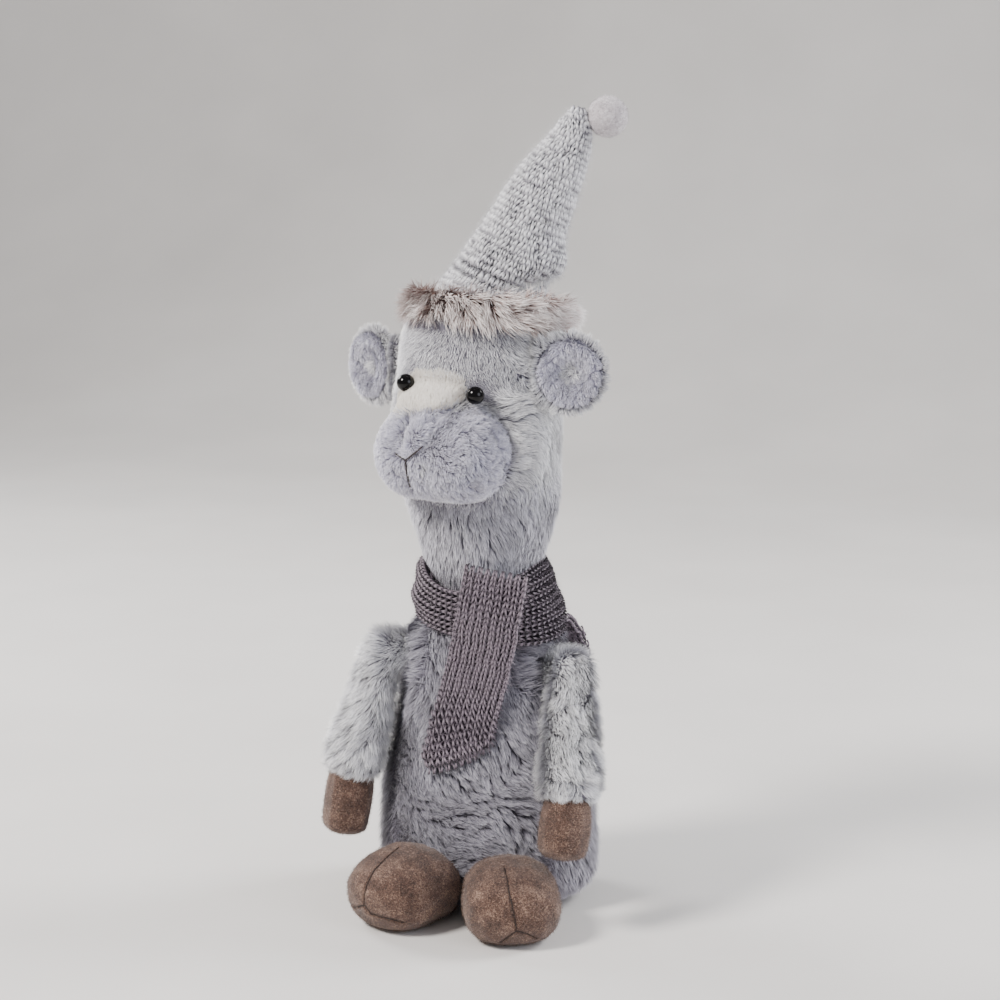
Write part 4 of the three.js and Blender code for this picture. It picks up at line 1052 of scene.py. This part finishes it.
armPile = {"Density": 4.6, "Length": 8.6, "Width": 0.42, "Lean Start": 8.0, "Lean End": 68.0, "Tuft Size": 5.2,
           "Tuft Pull": 0.5, "Mound": 0.45, "Swirl": 0.9, "Swirl Size": 20.0}
feltFuzz = {"Density": 1.2, "Length": 1.3, "Width": 0.16, "Lean Start": 0.0, "Lean End": 70.0, "Tuft Size": 4.0,
            "Tuft Pull": 0.0, "Mound": 0.0, "Swirl": 1.0, "Swirl Size": 5.0, "Jitter": 1.0, "Rows": 2, "Seed": 91}
armSides = dict(right=dict(pivot=(-41.8, -14.9, 128), outside=(-1, -0.3, 0), seed=51),
                left=dict(pivot=(40.7, -14.2, 123), outside=(1, -0.3, 0), seed=52))
# the pile parts over the shoulder, runs down the arm and gets short at the cuff
armCombing = dict(shoulder=(-8, 14), along=(0.75, -0.6), aside=(0.45, 0.3), cuff=(58, 68), cuffShorter=0.45)


def makeArm(side, pivot, outside, seed):
    s = armCombing
    body = f"{side}_arm"
    skin = softSkin(f"arm_{side}_skin", f"arm_{side}", 1.8, inset=4.0, relax=10)
    low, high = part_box(f"hand_{side}")
    pivot, outside = Vector(pivot), Vector(outside)
    run = ((low + high) / 2 / mm - pivot).normalized()

    def armComb(p, normal, i):
        top = 1 - smoothStep(*s["shoulder"], (p - pivot).dot(run))
        return run * (s["along"][0] + s["along"][1] * top) + outside * (s["aside"][0] + s["aside"][1] * top)

    growPile(f"arm_{side}_fur", skin, dict(armPile, Seed=seed), silverFur, body, "grey_fur", comb=armComb,
             length=lambda p, n, i: 1 - s["cuffShorter"] * smoothStep(*s["cuff"], (p - pivot).dot(run)))
    finishPiece(skin, greyBacking, body, "grey_fur", f"arm_{side}")
    hand = softSkin(f"hand_{side}_felt", f"hand_{side}", 0.8, relax=6)
    growPile(f"hand_{side}_fuzz", hand, feltFuzz, brownFuzz, body, "brown_felt")
    finishPiece(hand, brownFelt, body, "brown_felt", f"hand_{side}")


for side, settings in armSides.items():
    makeArm(side, **settings)
print("arms done")

# the seams on each foot as paths of pixels in the photograph
footPaths = dict(
    right=[[(399, 847), (388, 856), (374, 870), (367, 884), (364, 895), (364, 905), (353, 908)],
           [(364, 905), (371, 914), (382, 917), (394, 920), (404, 923)]],
    left=[[(504, 867), (507, 879), (509, 893), (512, 905), (515, 921), (517, 931)],
          [(500, 943), (508, 937), (517, 931), (527, 934), (538, 939)]],
)
footTrim = dict(seamDepth=0.7, seamWidth=0.6, thread=0.24, wobble=0.8, fuzzFront=-46.0)
for side in ("right", "left"):
    body = f"{side}_foot"
    foot = softSkin(f"foot_{side}_felt", f"foot_{side}", 0.8, relax=8)
    footTree = treeOf(foot)
    seamLines = [line for line in (seamOver(footTree, path) for path in footPaths[side]) if len(line) > 1]
    crease(foot, seamLines, footTrim["seamDepth"], footTrim["seamWidth"])
    for number, line in enumerate(seamLines):
        thread = tube(f"foot_{side}_seam_{number}", line, footTrim["thread"], wobble=footTrim["wobble"])
        finishPiece(thread, brownThread, body, "brown_felt")
    growPile(f"foot_{side}_fuzz", foot, feltFuzz, brownFuzz, body, "brown_felt",
             cover=lambda p, n, i: p.y < footTrim["fuzzFront"])
    finishPiece(foot, brownFelt, body, "brown_felt", f"foot_{side}")
    sole = softSkin(f"sole_{side}_felt", f"sole_{side}", 0.6, relax=2)
    finishPiece(sole, brownFelt, body, "brown_felt", f"sole_{side}")
print("feet done")

# One stitch of plain knitting: a V of two yarn legs that bow outwards
def buildStitches():
    tree, add, given = newTree("stitches", ("Yarn", "Bow", "Foot", "Head", "Tall", "Uneven"),
                               ("Sides", "Steps", "Seed"))
    stored = storedValues(add, across="FLOAT_VECTOR", outward="FLOAT_VECTOR", size="FLOAT_VECTOR", tone="FLOAT",
                          strand="FLOAT")
    both = add("GeometryNodeJoinGeometry")
    for hand in (-1.0, 1.0):
        foot, head, waist = (add(mathNode, (given[name], hand * share), operation="MULTIPLY")
                             for name, share in (("Foot", 1), ("Head", 1), ("Head", 0.95)))
        knee = add(mathNode, (given["Tall"], 0.4), operation="MULTIPLY")
        line = add("GeometryNodeCurveQuadraticBezier", {
            "Resolution": given["Steps"], "Start": add(joinNode, (foot, -0.1, -0.2)),
            "Middle": add(joinNode, (waist, knee, given["Bow"])),
            "End": add(joinNode, (head, given["Tall"], -0.22))})
        along = outOf(add("GeometryNodeSplineParameter"), "Factor")
        swell = add(mathNode, (add(mathNode, (along, math.pi), operation="MULTIPLY"),), operation="SINE")
        thickness = add(mathNode, (swell, 0.4, 0.6), operation="MULTIPLY_ADD")
        thick = add("GeometryNodeSetCurveRadius", {"Curve": line, "Radius": thickness})
        kept = add(storeNode, {"Geometry": thick, "Name": "strand", "Value": along}, data_type="FLOAT",
                   domain="POINT")
        ring = add("GeometryNodeCurvePrimitiveCircle", {"Resolution": given["Sides"], "Radius": given["Yarn"]})
        leg = add("GeometryNodeCurveToMesh", {"Curve": kept, "Profile Curve": outOf(ring, "Curve"),
                                              "Fill Caps": True})
        tree.links.new(outOf(leg), both.inputs[0])
    wobble = add(randomNode, {0: (-1.0, -1.0, -1.0), 1: (1.0, 1.0, 1.0), "Seed": given["Seed"]},
                 data_type="FLOAT_VECTOR")
    askew = add(vectorNode, {0: wobble, "Scale": given["Uneven"]}, operation="SCALE")
    bent = add(vectorNode, (stored["across"], askew), operation="ADD")
    rotation = add("FunctionNodeAxesToRotation", {"Primary Axis": stored["outward"], "Secondary Axis": bent},
                   primary_axis="Z", secondary_axis="X")
    least, most = (add(mathNode, (1.0, given["Uneven"]), operation=way) for way in ("SUBTRACT", "ADD"))
    vary = add(randomNode, {2: least, 3: most, "Seed": add(mathNode, (given["Seed"], 2.0), operation="ADD")},
               data_type="FLOAT")
    grown = add(vectorNode, {0: stored["size"], "Scale": vary}, operation="SCALE")
    placed = add("GeometryNodeInstanceOnPoints", {
        "Points": given["Geometry"], "Instance": both, "Rotation": rotation, "Scale": grown})
    u, v = (add(mathNode, (stored[name], 0.9, 0.05), operation="MULTIPLY_ADD") for name in ("tone", "strand"))
    finishTree(add, placed, u, v, given["Material"])
    return tree


stitchTree = buildStitches()
plainStitch = {"Yarn": 0.125, "Bow": 0.3, "Foot": 0.06, "Head": 0.38, "Tall": 1.3, "Uneven": 0.07, "Sides": 7,
               "Steps": 5, "Seed": 1}


# points: (place, across, outward, size of the stitch, tone 0-1), in millimetres
def knit(name, points, settings, material, body, slot):
    thing = newObject(name, meshFrom(name, [p[0] * mm for p in points], [], smooth=False))
    for key, column in (("across", 1), ("outward", 2), ("size", 3)):
        layer = thing.data.attributes.new(key, "FLOAT_VECTOR", "POINT")
        for i, point in enumerate(points):
            layer.data[i].vector = Vector(point[column]) * (mm if key == "size" else 1)
    layer = thing.data.attributes.new("tone", "FLOAT", "POINT")
    for i, point in enumerate(points):
        layer.data[i].value = min(max(point[4], 0), 1)
    runTree(thing, stitchTree, dict(plainStitch, **settings), material)
    return settled(thing, body, slot)


# The direction in which a curve of 0-1 runs at a place on it
def slopeOf(curve, at, step=0.01, low=0, high=1):
    return (curve(min(at + step, high)) - curve(max(at - step, low))).normalized()


# Stitches over a strip given by a surface function of (across 0-1, along 0-1)
def stitchField(surface, wales, courses, size, tone):
    points = []
    for course in range(courses):
        for wale in range(wales):
            u, v = (wale + 0.5) / wales, (course + 0.5) / courses
            toSide = slopeOf(lambda x: surface(x, v), u)
            onward = slopeOf(lambda x: surface(u, x), v)
            points.append((surface(u, v), toSide, toSide.cross(onward).normalized(), size, tone(u, v)))
    return points


# A thin closed cloth over the same kind of surface
def slab(name, surface, across, along, thickness):
    grid = [[surface(i / across, j / along) for i in range(across + 1)] for j in range(along + 1)]
    outer, inner = [], []
    for j, row in enumerate(grid):
        for i, place in enumerate(row):
            side = grid[j][min(i + 1, across)] - grid[j][max(i - 1, 0)]
            onward = grid[min(j + 1, along)][i] - grid[max(j - 1, 0)][i]
            out = side.cross(onward).normalized()
            outer.append((place + out * thickness / 2) * mm)
            inner.append((place - out * thickness / 2) * mm)
    wide, shift = across + 1, len(outer)
    faces = []
    for j in range(along):
        for i in range(across):
            a = j * wide + i
            faces.append((a, a + 1, a + 1 + wide, a + wide))
            faces.append((a + shift, a + wide + shift, a + 1 + wide + shift, a + 1 + shift))
    edge = [*range(wide), *(j * wide + across for j in range(1, along + 1)),
            *(along * wide + i for i in range(across - 1, -1, -1)),
            *(j * wide for j in range(along - 1, 0, -1))]
    for a, b in zip(edge, edge[1:] + edge[:1]):
        faces.append((b, a, a + shift, b + shift))
    return newObject(name, meshFrom(name, outer + inner, faces))


scarfShape = dict(
    width=31.0, thickness=4.2, wales=8, courseHeight=3.05, stitchDeep=3.3, roundCorner=4.0,
    hinge=172.0, hingeOver=2.0, frontRows=(150, 128, 106), frontBottom=73.5, frontTopX=12.8, frontBottomX=-8.0,
    frontBend=1.2, offBelly=1.2, overWrap=38.4, wrapFoot=141.0, topTuck=3.0, tuckReach=12.0, skew=0.13,
    backYaw=50.0, backRows=((140.0, 38), (134.0, 43.5), (125.0, 48.5), (102.0, 51), (80.0, 53.5)),
)
tailForm = dict(cornerReach=0.06, wave=0.8, waveTall=9, waveWide=1.5, ripple=0.7, rippleTall=14, bow=3.0,
                curl=1.1, curlReach=(0.34, 0.5), clothLess=3.0, clothAt=(0.02, 0.03), clothShare=0.96,
                clothGrid=(24, 60))
# the tail's stitches lighten towards its lower end as a painted highlight on the hem, and towards one side edge
yarnTone = dict(body=0.42, edge=0.12, hemHighlight=0.3, endReach=0.14, sideLighter=0.35, sideReach=0.86, patch=0.3,
                fleck=0.14)
stitchSize = (scarfShape["width"] / scarfShape["wales"], scarfShape["courseHeight"], scarfShape["stitchDeep"])
fuzzPile = {"Density": 0.9, "Length": 4.2, "Width": 0.1, "Lean Start": 0.0, "Lean End": 60.0, "Tuft Size": 5.0,
            "Tuft Pull": 0.0, "Mound": 0.0, "Swirl": 1.0, "Swirl Size": 6.0, "Jitter": 1.0, "Lift": 0.5}


def torsoReach(way, height):
    power = torsoShape["roundness"] / (torsoShape["roundness"] - 1)
    x = abs(way.x) * between(torsoShape["widths"], height)
    y = abs(way.y) * between(torsoShape["depths"], height)
    return (x ** power + y ** power) ** (1 / power)


def curveThrough(stations, t):
    last = len(stations) - 1
    pairs = [[(i, s[k]) for i, s in enumerate(stations)] for k in range(3)]
    return Vector([between(pair, min(max(t, 0), 1) * last) for pair in pairs])


def frontStations():
    s = scarfShape
    top = s["hinge"] + s["hingeOver"]
    stations = []
    for height in (top, *s["frontRows"], s["frontBottom"]):
        share = max((s["hinge"] - height) / (s["hinge"] - s["frontBottom"]), 0)
        x = s["frontTopX"] + (s["frontBottomX"] - s["frontTopX"]) * share ** s["frontBend"]
        out = torsoReach(Vector((0, -1, 0)), height) + s["thickness"] / 2 + s["offBelly"]
        over = s["overWrap"] - s["topTuck"] * smoothStep(s["hinge"] - s["tuckReach"], top, height)
        stations.append(Vector((x, -max(out, over if height > s["wrapFoot"] else 0), height)))
    return stations


def backStations():
    way = level(math.radians(scarfShape["backYaw"]))
    return [way * reach + up * height for height, reach in scarfShape["backRows"]]


# The cloth of a tail: u across, v from its lower end up; lift moves it out of its middle plane
def tailSurface(stations, across, lift, skew):
    s, f = scarfShape, tailForm

    def surface(u, v):
        low = 1 - v
        t = low * (1 - skew * u * low)
        tangent = slopeOf(lambda x: curveThrough(stations, x), t, 0.02)
        side = (across - tangent * across.dot(tangent)).normalized()
        tuck = s["roundCorner"] * (1 - smoothStep(0, f["cornerReach"], v))
        wave = f["wave"] * noise.noise(Vector((0, t * f["waveTall"], u * f["waveWide"])))
        ripple = f["ripple"] * noise.noise(Vector((t * f["rippleTall"], u, 3)))
        reach = (u - 0.5) * (s["width"] - tuck * 2) + ripple
        bend = f["bow"] * (reach / s["width"]) ** 2 + f["curl"] * smoothStep(*f["curlReach"], abs(u - 0.5))
        return curveThrough(stations, t) + side * reach + tangent.cross(side) * (lift + wave - bend)
    return surface


def makeTail(name, node, stations, across, body, skew):
    s, f, y = scarfShape, tailForm, yarnTone
    half = s["thickness"] / 2 - 1.0
    courses = round((stations[0] - stations[-1]).length / s["courseHeight"])

    def tone(u, v):
        # lighter at the lower end, a painted highlight, and lighter towards one side
        lightened = y["hemHighlight"] * (1 - smoothStep(0, y["endReach"], v)) \
            + y["sideLighter"] * smoothStep(y["sideReach"], 1, u)
        patch = y["patch"] * noise.noise(Vector((u * 4, v * 14, 2)))
        return y["body"] + lightened + patch + y["fleck"] * noise.noise(Vector((u * 60, v * 200, 5)))

    points = []
    for lift in (half, -half):
        field = stitchField(tailSurface(stations, across, lift, skew), s["wales"], courses, stitchSize, tone)
        points += [(p, a, -o if lift < 0 else o, z, t) for p, a, o, z, t in field]
    # the edges close with one column of stitches each
    middle = tailSurface(stations, across, 0.0, skew)
    for u in (0.0, 1.0):
        for course in range(courses):
            v = (course + 0.5) / courses
            toSide = (middle(u, v) - middle(0.5, v)).normalized()
            onward = slopeOf(lambda x: middle(u, x), v)
            points.append((middle(u, v), onward.cross(toSide).normalized(), toSide, stitchSize,
                           tone(u, v) + y["edge"]))
    stitches = knit(f"{name}_stitches", points, {"Seed": 61}, mauveYarn, body, "scarf_knit")
    left, foot = f["clothAt"]
    ground = slab(f"{name}_cloth", lambda u, v: middle(left + f["clothShare"] * u, foot + f["clothShare"] * v),
                  *f["clothGrid"], s["thickness"] - f["clothLess"])
    fuzz = growPile(f"{name}_fuzz", ground, dict(fuzzPile, Seed=62), scarfFuzz, body, "scarf_knit")
    # the cloth under the stitches carries the painted shade between them
    finishPiece(ground, scarfShadeGround, body, "scarf_knit", node)


makeTail("front_tail", "scarf_front_tail", frontStations(), Vector((1, 0, 0)), "front_tail", scarfShape["skew"])
backWay = level(math.radians(scarfShape["backYaw"]))
makeTail("back_tail", "scarf_back_tail", backStations(), backWay.cross(up), "back_tail", 0.0)
wrapShape = dict(
    x=-2.5, top=175.0, dropLeft=37.0, dropRight=24.0, dropTurn=math.radians(20), frontDip=11.0, thickness=5.5,
    topRadius=31.5, offTorso=0.3, belly=2.5, crumple=0.9, folds=9, foldTurn=2.2, courses=70, stitchLess=0.9,
    cloth=0.9, clothRings=120, clothRows=16, tone=0.45, edgeTone=0.6,
)


# The wrap: u down its width, v round the neck; its upper edge dips at the front
def wrapSurface(u, v, lift):
    s = wrapShape
    angle = 2 * math.pi * v
    way = level(angle)
    leftShare = (1 + math.cos(angle + s["dropTurn"])) / 2
    drop = s["dropRight"] + (s["dropLeft"] - s["dropRight"]) * leftShare
    low, high = s["top"] - drop, s["top"] - s["frontDip"] * max(-way.y, 0) ** 2
    height = high + (low - high) * u
    lowRadius = torsoReach(way, low) + s["thickness"] / 2 + s["offTorso"]
    highRadius = s["topRadius"] - s["thickness"] / 2
    share = (height - low) / (s["top"] - low)
    fold = math.sin(u * s["folds"] + s["foldTurn"] * math.sin(angle * 2))
    crumple = s["crumple"] * fold * math.sin(math.pi * u)
    radius = lowRadius + (highRadius - lowRadius) * share + s["belly"] * (1 - (2 * share - 1) ** 2) + crumple
    return Vector((s["x"], 0, height)) + way * (radius + lift)


def wrapTone(u, v):
    patch = yarnTone["patch"] * noise.noise(Vector((u * 4, v * 24, 8)))
    return wrapShape["tone"] + patch + yarnTone["fleck"] * noise.noise(Vector((u * 50, v * 300, 5)))


wrapReach = wrapShape["thickness"] / 2 - wrapShape["stitchLess"]
wrapCourses = wrapShape["courses"]
wrapPoints = stitchField(lambda u, v: wrapSurface(u, -v, wrapReach), scarfShape["wales"], wrapCourses,
                         stitchSize, wrapTone)
for edge in (0.0, 1.0):
    for course in range(wrapCourses):
        v = (course + 0.5) / wrapCourses
        place = wrapSurface(edge, -v, 0)
        toSide = (place - wrapSurface(0.5, -v, 0)).normalized()
        onward = slopeOf(lambda x: wrapSurface(edge, -x, 0), v, 0.004)
        wrapPoints.append((place, onward.cross(toSide).normalized(), toSide, stitchSize, wrapShape["edgeTone"]))
wrapStitches = knit("scarf_wrap_stitches", wrapPoints, {"Seed": 63}, mauveYarn, "torso", "scarf_knit")


def makeWrapCloth():
    around, rows, lift = wrapShape["clothRings"], wrapShape["clothRows"], wrapShape["cloth"]
    rings = []
    for j in range(around):
        outside, inside = ([wrapSurface(i / rows, j / around, side) for i in range(rows + 1)]
                           for side in (lift, -lift))
        rings.append(outside + inside[::-1])
    sides = len(rings[0])
    points = [p * mm for ring in rings for p in ring]
    faces = [(r * sides + s, r * sides + (s + 1) % sides, (r + 1) % around * sides + (s + 1) % sides,
              (r + 1) % around * sides + s) for r in range(around) for s in range(sides)]
    return newObject("scarf_wrap_cloth", meshFrom("scarf_wrap_cloth", points, faces))


wrapCloth = makeWrapCloth()
wrapFuzz = growPile("scarf_wrap_fuzz", wrapCloth, dict(fuzzPile, Seed=64, Density=0.6), scarfFuzz, "torso",
                    "scarf_knit")
finishPiece(wrapCloth, scarfShadeGround, "torso", "scarf_knit", "scarf_wrap")
print("scarf done")

hatShape = dict(
    centre=(0.5, 2.0, 299.5), tip=(41.0, 17.0, 396.0), lean=3.0, tiltBack=9.0, brimHeight=20.0, mouthRise=3.0,
    shoulder=7.0, shoulderShift=2.0, spine=((0.18, 0.2), (0.59, 0.59), (0.92, 0.87)),
    radii=(31.0, 27.5, 22.5, 16.5, 10.0, 4.5), closes=0.97, foldHeight=315.0, foldTurn=-10.0, sag=(5.0, 9, 9),
    fold=(4.6, -2, 4), dent=1.2, dentTurn=1.4, dentTall=6, cloth=-1.3, clothSides=72, clothRings=56,
    firstCourse=0.08, lastCourse=0.985, stitchWide=2.65, stitchTall=3.1, stitchDeep=2.7, slub=0.5, body=0.55,
    fleck=0.7, patch=0.25, fuzzFrom=305.0,
)


def hatSpine():
    s = hatShape
    centre, tip = Vector(s["centre"]), Vector(s["tip"])
    hatUp = Vector((math.tan(math.radians(s["lean"])), math.tan(math.radians(s["tiltBack"])), 1)).normalized()
    hatSide = (Vector((1, 0, 0)) - hatUp * hatUp.x).normalized()
    rise = tip.z - centre.z

    places = [centre + hatUp * (s["mouthRise"] - s["brimHeight"] / 2),
              centre + hatUp * s["shoulder"] + hatSide * s["shoulderShift"]]
    for across, height in s["spine"]:
        places.append(Vector((*centre.xy.lerp(tip.xy, across), centre.z + rise * height)))
    return places + [tip]


hatPlaces = hatSpine()


# u round the cone, v from its mouth to its tip; the leaning side sags over a fold near the brim
def hatSurface(u, v, grow=0.0):
    s = hatShape
    tangent = slopeOf(lambda x: curveThrough(hatPlaces, x), v, low=-math.inf, high=math.inf)
    radius = between(list(enumerate(s["radii"])), v * (len(hatPlaces) - 1)) + grow
    if v > s["closes"]:
        radius *= math.sqrt(max(1 - ((v - s["closes"]) / 0.031) ** 2, 0.02))
    side = (Vector((1, 0, 0)) - tangent * tangent.x).normalized()
    angle = 2 * math.pi * u
    out = side * math.cos(angle) + tangent.cross(side) * math.sin(angle)
    leaning = max(math.cos(angle - math.radians(s["foldTurn"])), 0) ** 2
    place = curveThrough(hatPlaces, v) + out * radius
    sag, fold = (size * math.exp(-((place.z - s["foldHeight"] - above) / reach) ** 2)
                 for size, above, reach in (s["sag"], s["fold"]))
    dent = s["dent"] * noise.noise(level(angle) * s["dentTurn"] + up * (v * s["dentTall"]))
    return place + out * ((sag - fold) * leaning + dent)


def makeHatCloth():
    s = hatShape
    rings = [[hatSurface(i / s["clothSides"], min(r / s["clothRings"], 0.999), s["cloth"])
              for i in range(s["clothSides"])] for r in range(s["clothRings"] + 1)]
    return loft("hat_cloth", rings)


def hatStitchPoints():
    s = hatShape
    points = []
    v, course = s["firstCourse"], 0
    while v < s["lastCourse"]:
        radius = (hatSurface(0, v) - hatSurface(0.5, v)).length / 2
        count = max(6, round(2 * math.pi * radius / s["stitchWide"]))
        for i in range(count):
            u = (i + 0.5) / count
            toSide = slopeOf(lambda x: hatSurface(x, v), u, low=-1, high=2)
            onward = slopeOf(lambda x: hatSurface(u, x), v, 0.005)
            slub = 1 + s["slub"] * noise.noise(Vector((u * 45, course * 0.9, 1)))
            fleck = s["fleck"] * noise.noise(Vector((u * 70, course * 0.9, 4)))
            patch = s["patch"] * noise.noise(Vector((u * 6, course * 0.25, 9)))
            size = (s["stitchWide"] * 1.04 * slub, s["stitchTall"] * 1.02, s["stitchDeep"] * slub)
            points.append((hatSurface(u, v), toSide, toSide.cross(onward).normalized(), size,
                           s["body"] + fleck + patch))
        step = (hatSurface(0.25, v + 0.01) - hatSurface(0.25, v)).length / 0.01
        v += s["stitchTall"] / step
        course += 1
    return points


hatGround = makeHatCloth()
hatStitch = {"Seed": 71, "Uneven": 0.34, "Yarn": 0.21, "Bow": 0.42, "Tall": 1.15, "Sides": 6, "Steps": 4}
knit("hat_stitches", hatStitchPoints(), hatStitch, hatYarn, "head_and_hat", "hat_knit")
growPile("hat_fuzz", hatGround, dict(fuzzPile, Length=5.2, Density=1.6, Seed=72), hatFuzz, "head_and_hat",
         "hat_knit", cover=lambda p, n, i: p.z > hatShape["fuzzFrom"])
# the cloth under the hat's stitches carries the painted shade between them
finishPiece(hatGround, hatShadeGround, "head_and_hat", "hat_knit", "hat_cone")

brimPile = {"Density": 3.9, "Length": 11.5, "Width": 0.46, "Lean Start": 4.0, "Lean End": 66.0,
            "Tuft Size": 5.0, "Tuft Pull": 0.8, "Mound": 0.6, "Swirl": 1.1, "Swirl Size": 11.0, "Jitter": 0.25,
            "Seed": 81, "Spread": 0.35}
brimSkin = softSkin("brim_skin", "hat_brim", 1.4, inset=3.6, relax=6)
hatMiddle = Vector(hatShape["centre"])


# The brim's pile sweeps round the hat and falls
def brimComb(p, normal, i):
    out = (p - hatMiddle).normalized()
    return up.cross(out).normalized() * 0.8 + down * 0.6


growPile("brim_fur", brimSkin, brimPile, brimFur, "head_and_hat", "brim_fur", comb=brimComb)
finishPiece(brimSkin, brownBacking, "head_and_hat", "brim_fur", "hat_brim")
ball = softSkin("felt_ball_skin", "pom_pom", 0.6, relax=12)
growPile("felt_ball_fuzz", ball, dict(feltFuzz, Seed=92), paleFuzz, "felt_ball", "ball_felt")
finishPiece(ball, paleFelt, "felt_ball", "ball_felt", "pom_pom")
print("hat done")

# in metres: the table's depth behind the toy, the radius of the paper's curve, its height and half its width
studio = dict(
    depth=1.1, bend=0.9, wall=2.6, half=3.0, bendSteps=24, aim=(0, 0, 0.2),
    paper=[(0.3, "#dad7d4"), (0.7, "#e2dfdc")], ambient=0.42, air="#f0f1f5",
    # name, place, size, power and colour
    lamps=[("key", (-0.85, -0.85, 1.25), 0.45, 38.0, "#fffaf5"),
           ("fill", (1.2, -0.6, 0.7), 0.9, 8.0, "#f2f4ff"),
           ("rimLeft", (-1.0, 0.5, 0.8), 0.5, 12.0, "#ffffff"),
           ("rimRight", (1.0, 0.6, 0.9), 0.5, 18.0, "#ffffff")],
)


# Backdrop paper that lies on the table and curves up behind the toy
def makeStudio(s):
    profile = [(-s["half"], 0.0), (s["depth"], 0.0)]
    for i in range(1, s["bendSteps"] + 1):
        angle = math.pi / 2 * i / s["bendSteps"]
        profile.append((s["depth"] + s["bend"] * math.sin(angle), s["bend"] * (1 - math.cos(angle))))
    profile.append((s["depth"] + s["bend"], s["wall"]))
    points = [(x, y, z) for y, z in profile for x in (-s["half"], s["half"])]
    faces = [(2 * i, 2 * i + 1, 2 * i + 3, 2 * i + 2) for i in range(len(profile) - 1)]
    sweep = newObject("backdrop", meshFrom("backdrop", points, faces))
    sweep.data.materials.append(mottledMaterial("pale matt backdrop paper", s["paper"], 6.0, 0.9, detail=4.0))
    world = bpy.data.worlds.new("studio")
    world.use_nodes = True
    air = world.node_tree.nodes["Background"].inputs
    air["Color"].default_value, air["Strength"].default_value = linear(s["air"]), s["ambient"]
    bpy.context.scene.world = world
    for name, where, size, power, color in s["lamps"]:
        data = bpy.data.lights.new(name, "AREA")
        data.shape, data.size, data.energy, data.color = "DISK", size, power, linear(color)[:3]
        lamp = newObject(name, data)
        lamp.location = where
        lamp.rotation_euler = (Vector(s["aim"]) - Vector(where)).to_track_quat("-Z", "Y").to_euler()


makeStudio(studio)
print("all pieces", sum(faceCount.values()), "triangles")
